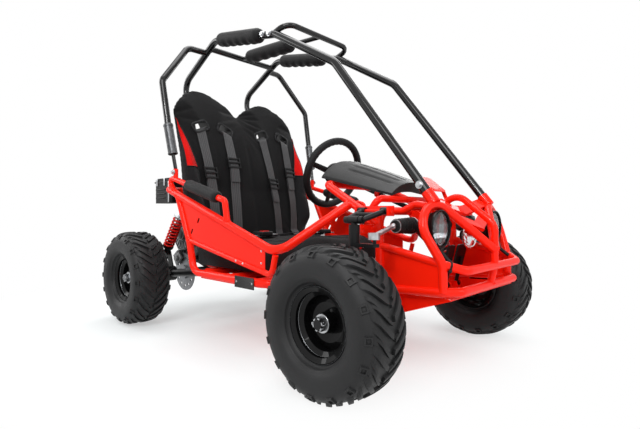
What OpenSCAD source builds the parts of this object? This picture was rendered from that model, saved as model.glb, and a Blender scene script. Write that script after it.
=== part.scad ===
// Two-seat off-road kart: welded tube chassis, bolted roll cage, bench seat,
// front wishbones, rear swing arm with the engine on it. Millimetres.
// +X is forward, +Y is the driver's left, +Z is up. The origin is on the ground
// below the middle of the kart.

/* [Overall] */
// Length over the front bumper and the rear tyres
overall_l = 1440; // [1436:1:1446]
// Distance between the front and the rear axle
wheelbase = 1032; // [1028:1:1036]
// Distance between the centre planes of the tyres of one axle
track = 782; // [780:1:790]

/* [Wheels] */
// Outer diameter of a tyre
tyre_d = 355; // [351:1:357]
// Width of a tyre
tyre_w = 138; // [130:1:139]
// Diameter of the bead seat of a rim
bead_d = 152; // [148:1:154]
// Height of the tread bars above the carcass
lug_h = 7; // [4:1:9]

/* [Frame] */
// Diameter of the side and floor rails
rail_d = 25.4; // [24:0.2:26]
// Diameter of the bumper, lamp loop and tower tubes
front_tube_d = 22; // [21:0.5:23]
// Half the spacing of the side rails
side_y = 350; // [346:1:353]
// Half the spacing of the front rails
front_y = 203; // [200:1:204]
// Height of the floor rails
rail_z = 226; // [224:1:228]
// Height of the upper rear cross tube
rear_cross_z = 489; // [487:1:491]

/* [Roll cage] */
// Diameter of the cage tubes
cage_d = 25.4; // [24:0.2:26]
// Half the spacing of the cage tubes
cage_y = 162; // [160:1:164]
// Height of the rear corner of the roof
roof_z = 1112; // [1100:1:1122]
// Diameter of the roof pads
roof_pad_d = 54; // [46:1:58]

/* [Seat] */
// Half the width of the bench
seat_half_w = 306; // [296:1:309]
// Height of the two backrest crowns
seat_top_z = 937; // [925:1:945]
// Thickness of the backrest at the bottom
back_t = 80; // [70:1:82]
// Height of the cushion's front edge
cushion_z = 352; // [346:1:356]

/* [Steering] */
// Diameter of the steering wheel, over the grip
wheel_d = 284; // [270:1:290]
// Diameter of the grip
grip_d = 28; // [24:1:30]
// Length of the steering arms
steer_arm = 61; // [60:0.5:62]
// Diameter of the tie rods
tie_d = 12; // [10:0.5:13]

/* [Suspension] */
// Sideways reach of a front wishbone
arm_reach = 78; // [77:0.5:79]
// How far a wishbone's outer end hangs below its inner one
arm_drop = 22; // [20:0.5:23]
// Outer diameter of the front springs
front_spring_d = 38; // [34:1:40]
// Outer diameter of the rear springs
rear_spring_d = 42; // [38:1:46]
// Thickness of the spring wire
spring_wire = 6; // [5:0.25:6.5]
// Coils in a front spring
front_coils = 7; // [6:1:8]
// Coils in a rear spring
rear_coils = 8; // [7:1:9]

/* [Hidden] */
$fn = 48;

red = [0.80, 0.05, 0.04];
black = [0.07, 0.07, 0.08];
rubber = [0.12, 0.12, 0.12];
steel = [0.72, 0.72, 0.74];
iron = [0.35, 0.35, 0.37];

// Small lengths used all over
lap = 1;
skin = 0.05;
run_fit = 0.06;
gap = 0.4;

// Axles; the rear tyres end at a fixed place, and the length runs forward from there
tail_x = -720;
tyre_r = tyre_d / 2;
axle_z = tyre_r;
rear_x = tail_x + tyre_r;
front_x = rear_x + wheelbase;
hub_y = track / 2;

// Tube radii
rail_r = rail_d / 2;
tube_r = front_tube_d / 2;
cage_r = cage_d / 2;
branch_r = tube_r - 1.5;
seat_tube_r = rail_r - 2;

// Front geometry
bumper_x = tail_x + overall_l - tube_r;
lower_bar_x = bumper_x - 12;
lower_bar_z = rail_z + 14;
tower_x = front_x + 2.5;
web_y = front_y + tube_r + 1;
arm_in_y = web_y + 11;
king_y = arm_in_y + arm_reach;
upper_in_z = 431;
lower_in_z = 172;
upper_out_z = upper_in_z - arm_drop;
lower_out_z = lower_in_z - arm_drop;
rack_x = front_x + steer_arm - 1.8;
rack_z = 393;
tie_out_z = rack_z - arm_drop;
front_butt_x = 380;

// Rear geometry
pivot_x = -215;
pivot_z = 212;
swing_y = 250;
rear_cross_x = -405;
side_butt_x = -322;
floor_butt_x = -110;
low_bend = [257, -side_y, 315];
back_low_z = 300;
rail_slope = (rear_cross_z + 25 - low_bend[2]) / 607;

// Cage geometry
roof_front = [-8, -cage_y, 1043];
roof_rear = [-335, -cage_y, roof_z];
roof_slope = (roof_z - roof_front[2]) / (roof_rear[0] - roof_front[0]);
hoop_low = [-577, -cage_y, 985];
hoop_foot = between([rear_cross_x, -cage_y, rear_cross_z + 25], hoop_low, 0.121);
pillar_bend = [294, -cage_y + 5, 878];
pillar_foot = [606, -cage_y, 478];
roof_bar_x = -375;

function unit(v) = v / norm(v);
function flip(p) = [p[0], -p[1], p[2]];
function lift(p, dz) = p + [0, 0, dz];
function between(a, b, t) = a + (b - a) * t;
// Height of the upper side rail at a given place along the kart
function side_rail_z(x) = low_bend[2] + rail_slope * (low_bend[0] - x);
// A path given for the right side, carried across to the left side
function across(half) = concat(half, [for (i = [len(half) - 1:-1:0]) flip(half[i])]);
function bend_angle(a, b, c) = 180 - acos(unit(a - b) * unit(c - b));
function setback(path, i, bend) =
    (i == 0 || i == len(path) - 1) ? 0
    : bend * tan(bend_angle(path[i - 1], path[i], path[i + 1]) / 2);

module both() {
    children();
    mirror([0, 1, 0]) children();
}

// Round bar between two points
module rod(a, b, r) {
    d = b - a;
    translate(a)
        rotate([0, acos(d[2] / norm(d)), atan2(d[1], d[0])])
            cylinder(r = r, h = norm(d));
}

// Round bars along the axes, about their middle
module bar_x(c, r, l) translate(c) rotate([0, 90, 0]) cylinder(r = r, h = l, center = true);
module bar_y(c, r, l) translate(c) rotate([90, 0, 0]) cylinder(r = r, h = l, center = true);

// Box from its least to its greatest corner
module box(a, b) translate(a) cube(b - a);

// Upright plate with its outline in X and Z, lying between two values of Y
module side_plate(outline, y0, y1)
    translate([0, y1, 0]) rotate([90, 0, 0]) linear_extrude(y1 - y0) polygon(outline);

// Quarter to half turn of tube at a corner of a path
module elbow(a, b, c, r, bend) {
    turn = bend_angle(a, b, c);
    reach = bend * tan(turn / 2);
    mid = b + unit(unit(a - b) + unit(c - b)) * bend / cos(turn / 2);
    ex = unit(b + unit(a - b) * reach - mid);
    ez = unit(cross(ex, b + unit(c - b) * reach - mid));
    ey = cross(ez, ex);
    multmatrix([
        [ex[0], ey[0], ez[0], mid[0]],
        [ex[1], ey[1], ez[1], mid[1]],
        [ex[2], ey[2], ez[2], mid[2]],
        [0, 0, 0, 1]
    ])
        rotate_extrude(angle = turn) translate([bend, 0]) circle(r = r);
}

// Bent tube along a path, with one bend radius
module tube(path, r, bend) {
    last = len(path) - 1;
    for (i = [0:last - 1]) {
        d = unit(path[i + 1] - path[i]);
        start = i == 0 ? 0 : setback(path, i, bend) - lap;
        end = i == last - 1 ? 0 : setback(path, i + 1, bend) - lap;
        rod(path[i] + d * start, path[i + 1] - d * end, r);
    }
    if (last > 1)
        for (i = [1:last - 1]) elbow(path[i - 1], path[i], path[i + 1], r + skin, bend);
}

// Floor rails with their cross members
module lower_frame() color(red) {
    both()
        tube([
            [floor_butt_x, -side_y, rail_z],
            [195, -side_y, rail_z],
            [325, -front_y, rail_z],
            [front_butt_x, -front_y, rail_z]
        ], rail_r, 60);
    rod([20, -side_y, rail_z], [20, side_y, rail_z], seat_tube_r);
    rod([150, -side_y, rail_z], [150, side_y, rail_z], branch_r);
}

// Places on the side frame
diag_low = [tower_x, -front_y, 399];
diag_top = [252, -150, 516];
rail_top = between(diag_top, diag_low, 0.52);
rest_rear = [-372, -side_y, 567];
rest_front = [8, -side_y, 466];
brace_foot_x = -300;
panel_rear = [-205, -side_y, 334];

// Upper side rail, rear upright, armrest and panel rail of one side
module side_frame() {
    rail_end = rail_top - unit(rail_top - low_bend) * 7;
    difference() {
        union() {
            tube([rail_end, low_bend, [side_butt_x, -side_y, side_rail_z(side_butt_x)]], rail_r, 60);
            tube([
                [-283, -side_y, side_rail_z(-283)],
                [-203, -side_y, 330],
                [-176, -side_y, rail_z],
                [floor_butt_x, -side_y, rail_z]
            ], rail_r - 1, 45);
            tube([
                [brace_foot_x, -side_y, side_rail_z(brace_foot_x)],
                rest_rear,
                rest_front,
                [24, -side_y, side_rail_z(24)]
            ], branch_r, 15);
            tube([panel_rear, [235, -side_y, 253], [250, -side_y, 310]], branch_r - 1, 22);
            rod(rest_at(brace_foot_x), lift(rest_at(brace_foot_x), 38), branch_r - 1);
        }
        rod(diag_low, diag_top, rail_r - 1);
        rod([side_butt_x, -side_y, side_rail_z(side_butt_x)], [-360, -side_y, side_rail_z(-360)], rail_r);
    }
}
// Point on the armrest tube's axis
function rest_at(x) = between(rest_rear, rest_front, (x - rest_rear[0]) / (rest_front[0] - rest_rear[0]));
module side_frame_right() color(red) side_frame();
module side_frame_left() color(red) mirror([0, 1, 0]) side_frame();

// Damper places at the front
damper_x = front_x - 38;
damper_top = [damper_x, -(arm_in_y + 14), 388];
damper_low = [damper_x, -(king_y - 24), 178];
lamp_c = [652, -164, 391];
loop_foot = [667, -197, 305];
post_top = [bumper_x - 1, 0, 333];

// Bumpers, lamp loops, suspension towers and their brackets
module front_frame() color(red) {
    tube(across([
        [front_butt_x + 0.8, -front_y, rail_z],
        [lower_bar_x - 29, -front_y + 6, lower_bar_z],
        [lower_bar_x, -165, lower_bar_z]
    ]), tube_r, 30);
    tube(across([loop_foot, [bumper_x, -158, 290]]), tube_r - 0.5, 30);
    rod([lower_bar_x, 0, lower_bar_z], [bumper_x, 0, 290], branch_r);
    rod([bumper_x, 0, 290], lift(post_top, -2), branch_r);
    tower();
    both() {
        tube([
            [lower_bar_x - 29, -front_y + 6, lower_bar_z],
            loop_foot,
            [628, -231, 395],
            [618, -165, 466],
            post_top + [2.2, 4, -3.2]
        ], tube_r, 32);
        rod(loop_foot, [tower_x, -front_y, 343], branch_r);
        tube([
            [tower_x, -165, upper_in_z],
            [540, -165, upper_in_z],
            [574, -163, 460],
            [616, -cage_y, 457]
        ], branch_r, 22);
        rod(pillar_foot + unit(pillar_foot - pillar_bend) * 0.2,
            pillar_foot + unit(pillar_foot - pillar_bend) * 36, cage_r + 2.5);
        arm_bracket(upper_in_z, upper_in_z - 13, upper_in_z + 13);
        box([tower_x + 3, -web_y, upper_in_z - 52], [tower_x + 12, -web_y + 5, upper_in_z]);
        arm_bracket(lower_in_z, lower_in_z - 13, rail_z + 5);
        damper_bracket();
        rack_bracket();
    }
    tube(across([[632, -140, 448], [612, -78, 476]]), branch_r - 0.5, 50);
}
tower_foot = [tower_x, -front_y, rail_z + 5];
module tower() tube(across([tower_foot, [tower_x, -front_y, upper_in_z]]), tube_r, 35);

// Channel with a through bolt that a wishbone turns on
module arm_bracket(z, z_low, z_high) {
    box([front_x - 53, -web_y, z_low], [front_x + 53, -web_y + 5, z_high]);
    for (x = [front_x - 53, front_x + 48])
        box([x, -arm_in_y - 12, z - 12], [x + 5, -web_y + 1, z + 12]);
    bar_x([front_x, -arm_in_y, z], 5, 112);
}

// Fork behind the tower that holds the front damper's upper eye
module damper_bracket() {
    box([damper_x - 18, -front_y - 5, 372], [tower_x, -front_y + 5, 390]);
    for (x = [damper_x - 18, damper_x + 12])
        box([x, damper_top[1] - 12, 372], [x + 6, -front_y + 4, 396]);
    bar_x(damper_top, 5, 42);
}

// Plate that carries the rack housing under the tower
module rack_bracket()
    difference() {
        side_plate([
            [tower_x - 4, upper_in_z + 8],
            [tower_x + 10, upper_in_z + 8],
            [rack_x + 22, rack_z + 14],
            [rack_x + 22, rack_z - 20],
            [rack_x - 20, rack_z - 20],
            [tower_x - 4, upper_in_z - 8]
        ], -63, -57);
        bar_y([rack_x, -60, rack_z], 14, 20);
    }

// Tubes that carry the dash, with the ring the steering column runs in
cowl_hoop_x = 470;
cowl_hoop_z = 465;
module dash_frame() color(red) {
    hoop_foot_at = between(diag_top, diag_low, 0.815);
    difference() {
        union() {
            tube(across([diag_low, diag_top]), rail_r - 1, 34);
            tube(across([hoop_foot_at, [cowl_hoop_x, -180, cowl_hoop_z]]), branch_r, 25);
            rod(column_ring - column * 9, column_ring + column * 9, shaft_r + 5.5);
        }
        tower();
        rod(column_ring - column * 20, column_ring + column * 20, shaft_r + run_fit);
    }
}
module bar_z(x, y, z0, z1, r) translate([x, y, z0]) cylinder(r = r, h = z1 - z0);

// Tubes behind the seat, with the swing arm, damper and cage sockets
damper_rear_top = [rear_cross_x - 22, -swing_y, rear_cross_z - 36];
damper_rear_low = [rear_x - 30, -swing_y, axle_z + 86];
tank_x = -302;
// Rear of the backrest at the height of the upper cross tube
seat_rear_x = back_x(rear_cross_z + 25) - back_t - gap - 2.4
    + 14 * (rear_cross_z + 25 - back_low_z) / (seat_top_z - back_low_z);
module rear_frame() color(red) {
    tube(across([
        [side_butt_x, -side_y, side_rail_z(side_butt_x)],
        [-352, -side_y, side_rail_z(-352)],
        [rear_cross_x, -290, rear_cross_z + 25]
    ]), rail_r, 34);
    difference() {
        rod([-128, -side_y, rail_z], [-128, side_y, rail_z], seat_tube_r);
        both() bar_x([-128, -side_y, rail_z], rail_r - 1, 80);
    }
    rod([tank_x, -200, rail_z], [tank_x, 200, rail_z], branch_r - 1);
    both() {
        rod([rear_cross_x, -100, rear_cross_z + 25], [seat_rear_x, -100, rear_cross_z + 25], branch_r - 2);
        tube([
            [-128, -200, rail_z],
            [-345, -200, rail_z],
            [rear_cross_x, -200, rear_cross_z + 25]
        ], branch_r, 50);
        for (y = [-swing_y - 24, -swing_y + 19])
            side_plate([
                [-120, rail_z + 8],
                [-120, rail_z - 8],
                [pivot_x - 8, pivot_z - 17],
                [pivot_x - 18, pivot_z - 8],
                [pivot_x - 18, pivot_z + 8],
                [pivot_x - 8, pivot_z + 17]
            ], y, y + 5);
        bar_y([pivot_x, -swing_y, pivot_z], 8, 54);
        for (y = [-swing_y - 17, -swing_y + 12])
            side_plate([
                [rear_cross_x + 8, rear_cross_z + 25],
                [rear_cross_x - 10, rear_cross_z + 30],
                [damper_rear_top[0] - 12, damper_rear_top[2] - 2],
                [damper_rear_top[0] - 4, damper_rear_top[2] - 12],
                [damper_rear_top[0] + 12, damper_rear_top[2] - 6]
            ], y, y + 5);
        bar_y(damper_rear_top, 5, 40);
        rod([rear_cross_x, -cage_y, rear_cross_z + 25], hoop_foot, cage_r + 2.5);
    }
}

// Floor sheet with its dropped foot well and the pedal brackets
well_z = 172;
well_y = 186;
sheet_t = 3;
pedal_x = 520;
pedal_z = 206;
pedal_ys = [95, 165];
module floor_pan() color(red) {
    under = rail_z - rail_r;
    difference() {
        union() {
            side_plate([
                [-225, under], [112, under], [172, well_z + sheet_t], [545, well_z + sheet_t],
                [lower_bar_x - 14, lower_bar_z - 17], [lower_bar_x - 14, lower_bar_z - 17 - sheet_t],
                [546, well_z], [170, well_z], [110, under - sheet_t], [-225, under - sheet_t]
            ], -well_y, well_y);
            box([-225, -side_y, under - sheet_t], [110, side_y, under]);
            both()
                side_plate([
                    [112, under - 1], [360, under], [660, under + 12],
                    [lower_bar_x - 14, lower_bar_z - 18], [545, well_z + 1], [171, well_z + 1]
                ], -well_y, -well_y + sheet_t);
            for (y = pedal_ys, s = [-1, 1])
                side_plate([
                    [pedal_x - 20, well_z + 1], [pedal_x + 24, well_z + 1],
                    [pedal_x + 10, pedal_z + 9], [pedal_x - 10, pedal_z + 9]
                ], y + s * 16 - 2, y + s * 16 + 2);
            for (y = pedal_ys) bar_y([pedal_x, y, pedal_z], 5, 40);
        }
        both() box([-300, -side_y - 1, under - 20], [-130, -swing_y + 40, under + 1]);
    }
}

// Sheet panels between the side rails, with two slots each
module side_panels() color(red) both()
    difference() {
        side_plate([
            [-283, side_rail_z(-283)], [250, side_rail_z(250)], [235, 253],
            [panel_rear[0], panel_rear[2]]
        ], -side_y - 1.2, -side_y + 1.2);
        rod(low_bend, [-400, -side_y, side_rail_z(-400)], rail_r);
        elbow(rail_top, low_bend, [-300, -side_y, side_rail_z(-300)], rail_r + skin, 60);
        rod([-283, -side_y, side_rail_z(-283)], [-203, -side_y, 330], rail_r - 1);
        elbow([-283, -side_y, side_rail_z(-283)], [-203, -side_y, 330], [-176, -side_y, rail_z],
            rail_r - 1 + skin, 45);
        rod(panel_rear, [235, -side_y, 253], branch_r - 1);
        box([205, -side_y - 5, 200], [300, -side_y + 5, 400]);
        for (x = [-165, -135])
            translate([x, -side_y, side_rail_z(x) - 52])
                rotate([90, 40, 0]) slot(26, 5);
    }
// Slot cutter with round ends
module slot(l, r) {
    for (s = [-1, 1]) translate([s * l / 2, 0, 0]) cylinder(r = r, h = 20, center = true);
    cube([l, 2 * r, 20], center = true);
}

// Nose side plates and the plates over the front
module nose_panels() color(red) {
    both()
        difference() {
            side_plate([
                [tower_x, 343], loop_xz, [lower_bar_x - 29, lower_bar_z], [tower_x, rail_z + 5]
            ], -front_y + 1.8, -front_y + 4.2);
            rod(loop_foot, [tower_x, -front_y, 343], branch_r);
            rod([front_butt_x, -front_y, rail_z], [lower_bar_x - 29, -front_y + 6, lower_bar_z], tube_r);
            bar_z(tower_x, -front_y, 200, 400, tube_r);
            rod([lower_bar_x - 29, -front_y + 6, lower_bar_z], loop_foot, tube_r);
        }
    translate([hood_c[0], 0, hood_c[2]])
        rotate([0, 58, 0])
            difference() {
                cube([96, 104, 2.4], center = true);
                for (s = [-1, 1]) translate([8, s * 26, 0]) cylinder(r = 12, h = 10, center = true);
            }
}
loop_xz = [loop_foot[0], loop_foot[2]];
hood_c = [640, 0, 425];

// Front half of the cage: two screen pillars and the forward roof bar
roof_bar = [[16, -cage_y, 1038], [85, -cage_y + 4, 1058]];
module cage_front() color(black) {
    both()
        tube([
            roof_front,
            roof_front + [38, 0, 38 * roof_slope],
            pillar_bend,
            pillar_foot
        ], cage_r, 78);
    tube(across(roof_bar), branch_r, 40);
}

// Rear half of the cage: side hoops, cross bar and the middle roof tube
hoop_slope = (hoop_low[2] - roof_z) / (hoop_low[0] - roof_rear[0]);
roof_bar_z = roof_z + (roof_bar_x - roof_rear[0]) * hoop_slope;
mid_rear = [roof_bar_x, 0, roof_bar_z];
mid_front = [roof_bar[1][0], 0, roof_bar[1][2]];
module cage_rear() color(black)
    difference() {
        union() {
            both() tube([roof_front, roof_rear, hoop_low, hoop_foot], cage_r, 60);
            rod([roof_bar_x, -cage_y, roof_bar_z], [roof_bar_x, cage_y, roof_bar_z], cage_r - 1.2);
            rod(mid_rear, between(mid_rear, mid_front, 0.99), branch_r - 1);
        }
        bar_y(mid_front, branch_r, 200);
    }

// Side braces from the hoop down to the armrests, with their adjuster sleeves
brace_top = [-398, -cage_y, roof_z + (-398 - roof_rear[0]) * hoop_slope];
sleeve_top = [-334, -361, 742];
sleeve_low = [-311, -355, 640];
module cage_braces() color(black) both()
    difference() {
        union() {
            tube([brace_top, [-414, -238, 1084], [-368, -368, 916], sleeve_top], cage_r - 0.8, 36);
            rod(sleeve_top + unit(sleeve_top - sleeve_low) * 8, sleeve_low, cage_r + 3.3);
            rod(sleeve_low + unit(sleeve_top - sleeve_low) * 5, brace_end, 6.5);
        }
        rod(roof_rear, hoop_low, cage_r);
    }
brace_end = lift(rest_at(brace_foot_x), 39.5) + [0, -1, 0];

// Foam sleeves on the three roof tubes and the armrests
pad_r = roof_pad_d / 2;
module foam_pads() color(rubber) {
    both() {
        sleeve(between(roof_front, roof_rear, 0.12), between(roof_front, roof_rear, 0.9), pad_r, cage_r);
        sleeve(rest_at(-217), rest_at(-28), 20, branch_r);
    }
    sleeve(between(mid_rear, mid_front, 0.09), between(mid_rear, mid_front, 0.68), pad_r, branch_r - 1);
}
module sleeve(a, b, r, bore)
    difference() {
        rod(a, b, r);
        rod(a - unit(b - a), b + unit(b - a), bore + skin);
    }

// Bolt heads and washers of the cage joints
module fasteners() color(steel) both() {
    for (p = [between(pillar_foot, pillar_bend, 0.045), roof_front + [20, 0, 20 * roof_slope],
            roof_front - [16, 0, 16 * roof_slope]])
        side_bolt(p, cage_r);
    side_bolt(rest_at(brace_foot_x) + [0, 0, 26], branch_r - 1);
    side_bolt(between(hoop_foot, hoop_low, -0.05), cage_r + 2.5);
}
// Washer and hexagon head lying on the outer side of a tube
module side_bolt(p, r)
    translate([p[0], p[1] - r, p[2]]) rotate([90, 0, 0]) {
        cylinder(r = 10, h = 2.5);
        translate([0, 0, 2.4]) cylinder(r = 7, h = 6, $fn = 6);
    }

// Front face of the backrest, seen from the side
function back_x(z) = -262 - 0.10 * (z - 330) - 0.00046 * pow(z - 330, 2);
// Crown of each of the two backrests, with a sharp valley between them
crown_y = 172;
valley_depth = 78;
shoulder_drop = 118;
function back_top(y) =
    let (u = abs(y) / crown_y)
    u < 1 ? seat_top_z - valley_depth * pow(1 - u, 1.8)
    : seat_top_z - shoulder_drop * pow((abs(y) - crown_y) / (seat_half_w - crown_y), 2.2);
// Side bolsters stand forward of the hollow middle of each seat
function hollow(y) = 9 - 22 * pow(cos(180 * (abs(y) - seat_half_w / 2) / seat_half_w), 2);
back_cols = 24;
back_rows = 12;
function back_edge(t) = sqrt(max(0, 1 - pow(abs(2 * t - 1), 6)));
function back_point(i, j, side) =
    let (
        s = i / back_cols,
        t = j / back_rows,
        y = (2 * s - 1) * seat_half_w,
        z = back_low_z + (back_top(y) - back_low_z) * t,
        full = back_edge(s) * back_edge(0.5 + t / 2),
        thick = (back_t - 28 * t) * (0.35 + 0.65 * full)
    )
    [back_x(z) - back_t * 0.5 + side * thick / 2 + (side > 0 ? hollow(y) * full * 0.8 : 0), y, z];
module seat_back() color(black) slab(back_cols, back_rows, function(i, j, s) back_point(i, j, s));

// Closed skin over two grids of points that share their rim in number
module slab(cols, rows, at) {
    n = (cols + 1) * (rows + 1);
    front = [for (j = [0:rows], i = [0:cols]) at(i, j, 1)];
    back = [for (j = [0:rows], i = [0:cols]) at(i, j, -1)];
    function k(i, j) = j * (cols + 1) + i;
    rim = concat(
        [for (i = [0:cols - 1]) k(i, 0)],
        [for (j = [0:rows - 1]) k(cols, j)],
        [for (i = [cols:-1:1]) k(i, rows)],
        [for (j = [rows:-1:1]) k(0, j)]
    );
    polyhedron(concat(front, back), concat(
        [for (j = [0:rows - 1], i = [0:cols - 1]) [k(i, j), k(i, j + 1), k(i + 1, j + 1)]],
        [for (j = [0:rows - 1], i = [0:cols - 1]) [k(i, j), k(i + 1, j + 1), k(i + 1, j)]],
        [for (j = [0:rows - 1], i = [0:cols - 1]) [n + k(i, j), n + k(i + 1, j + 1), n + k(i, j + 1)]],
        [for (j = [0:rows - 1], i = [0:cols - 1]) [n + k(i, j), n + k(i + 1, j), n + k(i + 1, j + 1)]],
        [for (q = [0:len(rim) - 1]) [rim[q], rim[(q + 1) % len(rim)], n + rim[q]]],
        [for (q = [0:len(rim) - 1]) [rim[(q + 1) % len(rim)], n + rim[(q + 1) % len(rim)], n + rim[q]]]
    ));
}

// Cushion: crowned top, drawn-in sides and a waterfall front edge
cushion_front = 122;
cushion_rear = back_x(back_low_z) + 9 * 0.8 + gap;
cushion_low = rail_z + seat_tube_r + 0.1;
base_rows = 12;
function cushion_top(x) =
    let (t = (x - cushion_rear) / (cushion_front - cushion_rear))
    cushion_z - 34 * pow(1 - t, 1.4) - 40 * pow(max(0, t - 0.86) / 0.14, 2);
function base_point(i, j, side) =
    let (
        s = i / back_cols,
        t = j / base_rows,
        full = back_edge(s) * back_edge(0.5 + t / 2),
        y = (2 * s - 1) * (seat_half_w - 8),
        x = cushion_rear + (cushion_front - cushion_rear) * t
    )
    side > 0
    ? [x, y, between(cushion_low + 50, cushion_top(x), 0.6 + 0.4 * full) + hollow(y) * 0.7 * full]
    : [x, y * 0.985, cushion_low];
module seat_base() color(black)
    slab(back_cols, base_rows, function(i, j, s) base_point(back_cols - i, j, s));

// Belts: two shoulder straps and two lap straps a seat, lying on the cushions
seat_ys = [-seat_half_w / 2, seat_half_w / 2];
belt_w = 40;
belt_t = 2.5;
slot_z = 776;
slot_y = 58;
slot_tilt = 24;
function back_front(y, z) =
    back_x(z) - 14 * (z - back_low_z) / (back_top(y) - back_low_z) + hollow(y) * 0.8;
function cushion_at(x, y) = cushion_top(x) + hollow(y) * 0.7;
// Sideways slope of the hollow in a seat
function hollow_slope(y) =
    sign(y) * 22 * sin(360 * (abs(y) - seat_half_w / 2) / seat_half_w) * PI / seat_half_w;
// A shoulder strap leaves its slot, passes over the bezel and runs down to the buckle
function shoulder(sy, s) =
    concat(
        [for (p = [[17, 6], [9, 13.5], [-7, 13.5], [-28, 6]])
            let (y = sy + s * slot_y, z = slot_z + p[0])
            [back_front(y, z) + p[1], y, z]],
        [for (k = [1:5])
            let (y = sy + s * (slot_y - 3.6 * k), z = slot_z - 84 * k)
            [back_front(y, z) + 2, y, z]],
        [for (k = [6:10])
            let (y = sy + s * (slot_y - 3.6 * k), x = -228 + 42 * (k - 6))
            [x, y, cushion_at(x, y) + 2]]
    );
function shoulder_sides(path, s) =
    [for (i = [0:len(path) - 1])
        let (lean = i < 4 ? -s * tan(slot_tilt) : 0)
        i < 9 ? [0.8 * hollow_slope(path[i][1]), 1, lean] : [0, 1, 0.7 * hollow_slope(path[i][1])]];
function lap_strap(sy, s) =
    [for (k = [0:5])
        let (x = -236 + 38 * k, y = sy + s * (128 - 16.4 * k))
        [x, y, cushion_at(x, y) + 4 + 1.7 * k]];
// Flat strap along a path; hints are rough sideways directions, one for each point
module strap(path, hints) {
    last = len(path) - 1;
    ways = [for (i = [0:last]) unit(path[min(i + 1, last)] - path[max(i - 1, 0)])];
    sides = [for (i = [0:last]) unit(hints[i] - ways[i] * (ways[i] * hints[i]))];
    ups = [for (i = [0:last]) cross(ways[i], sides[i])];
    pts = [for (i = [0:last], c = [[-1, 0], [1, 0], [1, 1], [-1, 1]])
        path[i] + sides[i] * c[0] * belt_w / 2 + ups[i] * c[1] * belt_t];
    polyhedron(pts, concat(
        [[0, 1, 2], [0, 2, 3]],
        [for (i = [0:last - 1], q = [0:3]) [4 * i + q, 4 * i + 4 + q, 4 * i + (q + 1) % 4]],
        [for (i = [0:last - 1], q = [0:3]) [4 * i + (q + 1) % 4, 4 * i + 4 + q, 4 * i + 4 + (q + 1) % 4]],
        [[4 * last, 4 * last + 2, 4 * last + 1], [4 * last, 4 * last + 3, 4 * last + 2]]
    ));
}
module harness_belts() color(rubber)
    for (sy = seat_ys, s = [-1, 1]) {
        strap(shoulder(sy, s), shoulder_sides(shoulder(sy, s), s));
        strap(lap_strap(sy, s), [for (p = lap_strap(sy, s)) [s * 0.4, 0.92, 0.6 * hollow_slope(p[1])]]);
    }

// Slot bezels in the backrest, belt buckles and their tongues
buckle_x = -78;
module harness_hardware() color(black)
    for (sy = seat_ys) {
        for (s = [-1, 1])
            translate([back_front(sy + s * slot_y, slot_z + 14) + 2, sy + s * slot_y, slot_z + 14])
                rotate([0, -26, -atan(0.8 * hollow_slope(sy + s * slot_y))]) rotate([-s * slot_tilt, 0, 0])
                    difference() {
                        box([0, -34, -15], [5, 34, 15]);
                        box([-1, -26, -7], [6, 26, 7]);
                    }
        translate([buckle_x, sy, cushion_at(buckle_x, sy) + 14]) {
            box([0, -26, -7], [56, 26, 10]);
            box([8, -14, 9], [40, 14, 13]);
            box([18, -58, -2], [44, 58, 1]);
        }
    }

// Moulded cowl over the dash tubes
cowl_rear = 214;
cowl_front = 474;
cowl_half_w = 128;
cowl_rows = 9;
cowl_cols = 16;
cowl_edge_t = 7;
// The cowl's edges rest on the dash tube and on the hoop before it
cowl_seat_rear = diag_top[2] + rail_r - 1 + 0.2;
cowl_seat_front = cowl_hoop_z + branch_r + 0.2;
function cowl_seat(x) =
    cowl_seat_rear + (x - diag_top[0]) * (cowl_seat_front - cowl_seat_rear) / (cowl_hoop_x - diag_top[0]);
function cowl_point(i, j, side) =
    let (
        v = 1 - 2 * i / cowl_cols,
        t = j / cowl_rows,
        x = cowl_rear + (cowl_front - cowl_rear) * t,
        edge = cowl_seat(x) + cowl_edge_t,
        peak = 602 - 86 * pow(t, 1.25),
        z = edge + (peak - edge) * (1 - pow(abs(v), 2.4))
    )
    [x, v * cowl_half_w * (1 - 0.05 * t), side > 0 ? z : z - cowl_edge_t - 22 * (1 - pow(abs(v), 2))];
module dash_cowl() color(black)
    slab(cowl_cols, cowl_rows, function(i, j, s) cowl_point(i, j, s));

// Lamp bowls with their studs
lamp_profile = [
    [0, -50], [18, -50], [36, -26], [44, 2], [46, 4], [46, 12], [42.5, 12], [42.5, 5], [40.5, 2],
    [33, -25], [16, -46.5], [0, -46.5]
];
module headlight_shells() color(black) both() {
    stud_end = between(loop_foot, [bumper_x, -158, 290], 0.5);
    stud_way = unit(stud_end - lamp_c + [6, 0, 42]);
    translate(lamp_c) rotate([0, 90, 0]) rotate_extrude() polygon(lamp_profile);
    rod(lamp_c - [6, 0, 41], stud_end - stud_way * (tube_r + 3.8), 5);
}
module headlight_lenses() color([0.9, 0.93, 0.95]) both()
    translate(lamp_c) rotate([0, 90, 0])
        rotate_extrude() polygon([[0, 5], [42, 5], [42, 8], [35, 11], [20, 13.2], [0, 14]]);

// Horn with its bracket
horn_c = [628, 36, 364];
module horn() color(black) {
    translate(horn_c) rotate([0, 90, 0])
        rotate_extrude()
            polygon([
                [0, -26], [14, -26], [18, -14], [30, -12], [37, -6], [37, -2], [30, 2], [12, 6], [0, 7]
            ]);
    rod(horn_c + [-9, 0, 24], [606.5, 36, 466.6], 4);
}

// Round-cornered plan, exact in arcs
module round_plan(w, l, r) {
    square([w - 2 * r, l], center = true);
    square([w, l - 2 * r], center = true);
    for (sx = [-1, 1], sy = [-1, 1])
        translate([sx * (w / 2 - r), sy * (l / 2 - r)]) circle(r = r);
}

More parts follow.
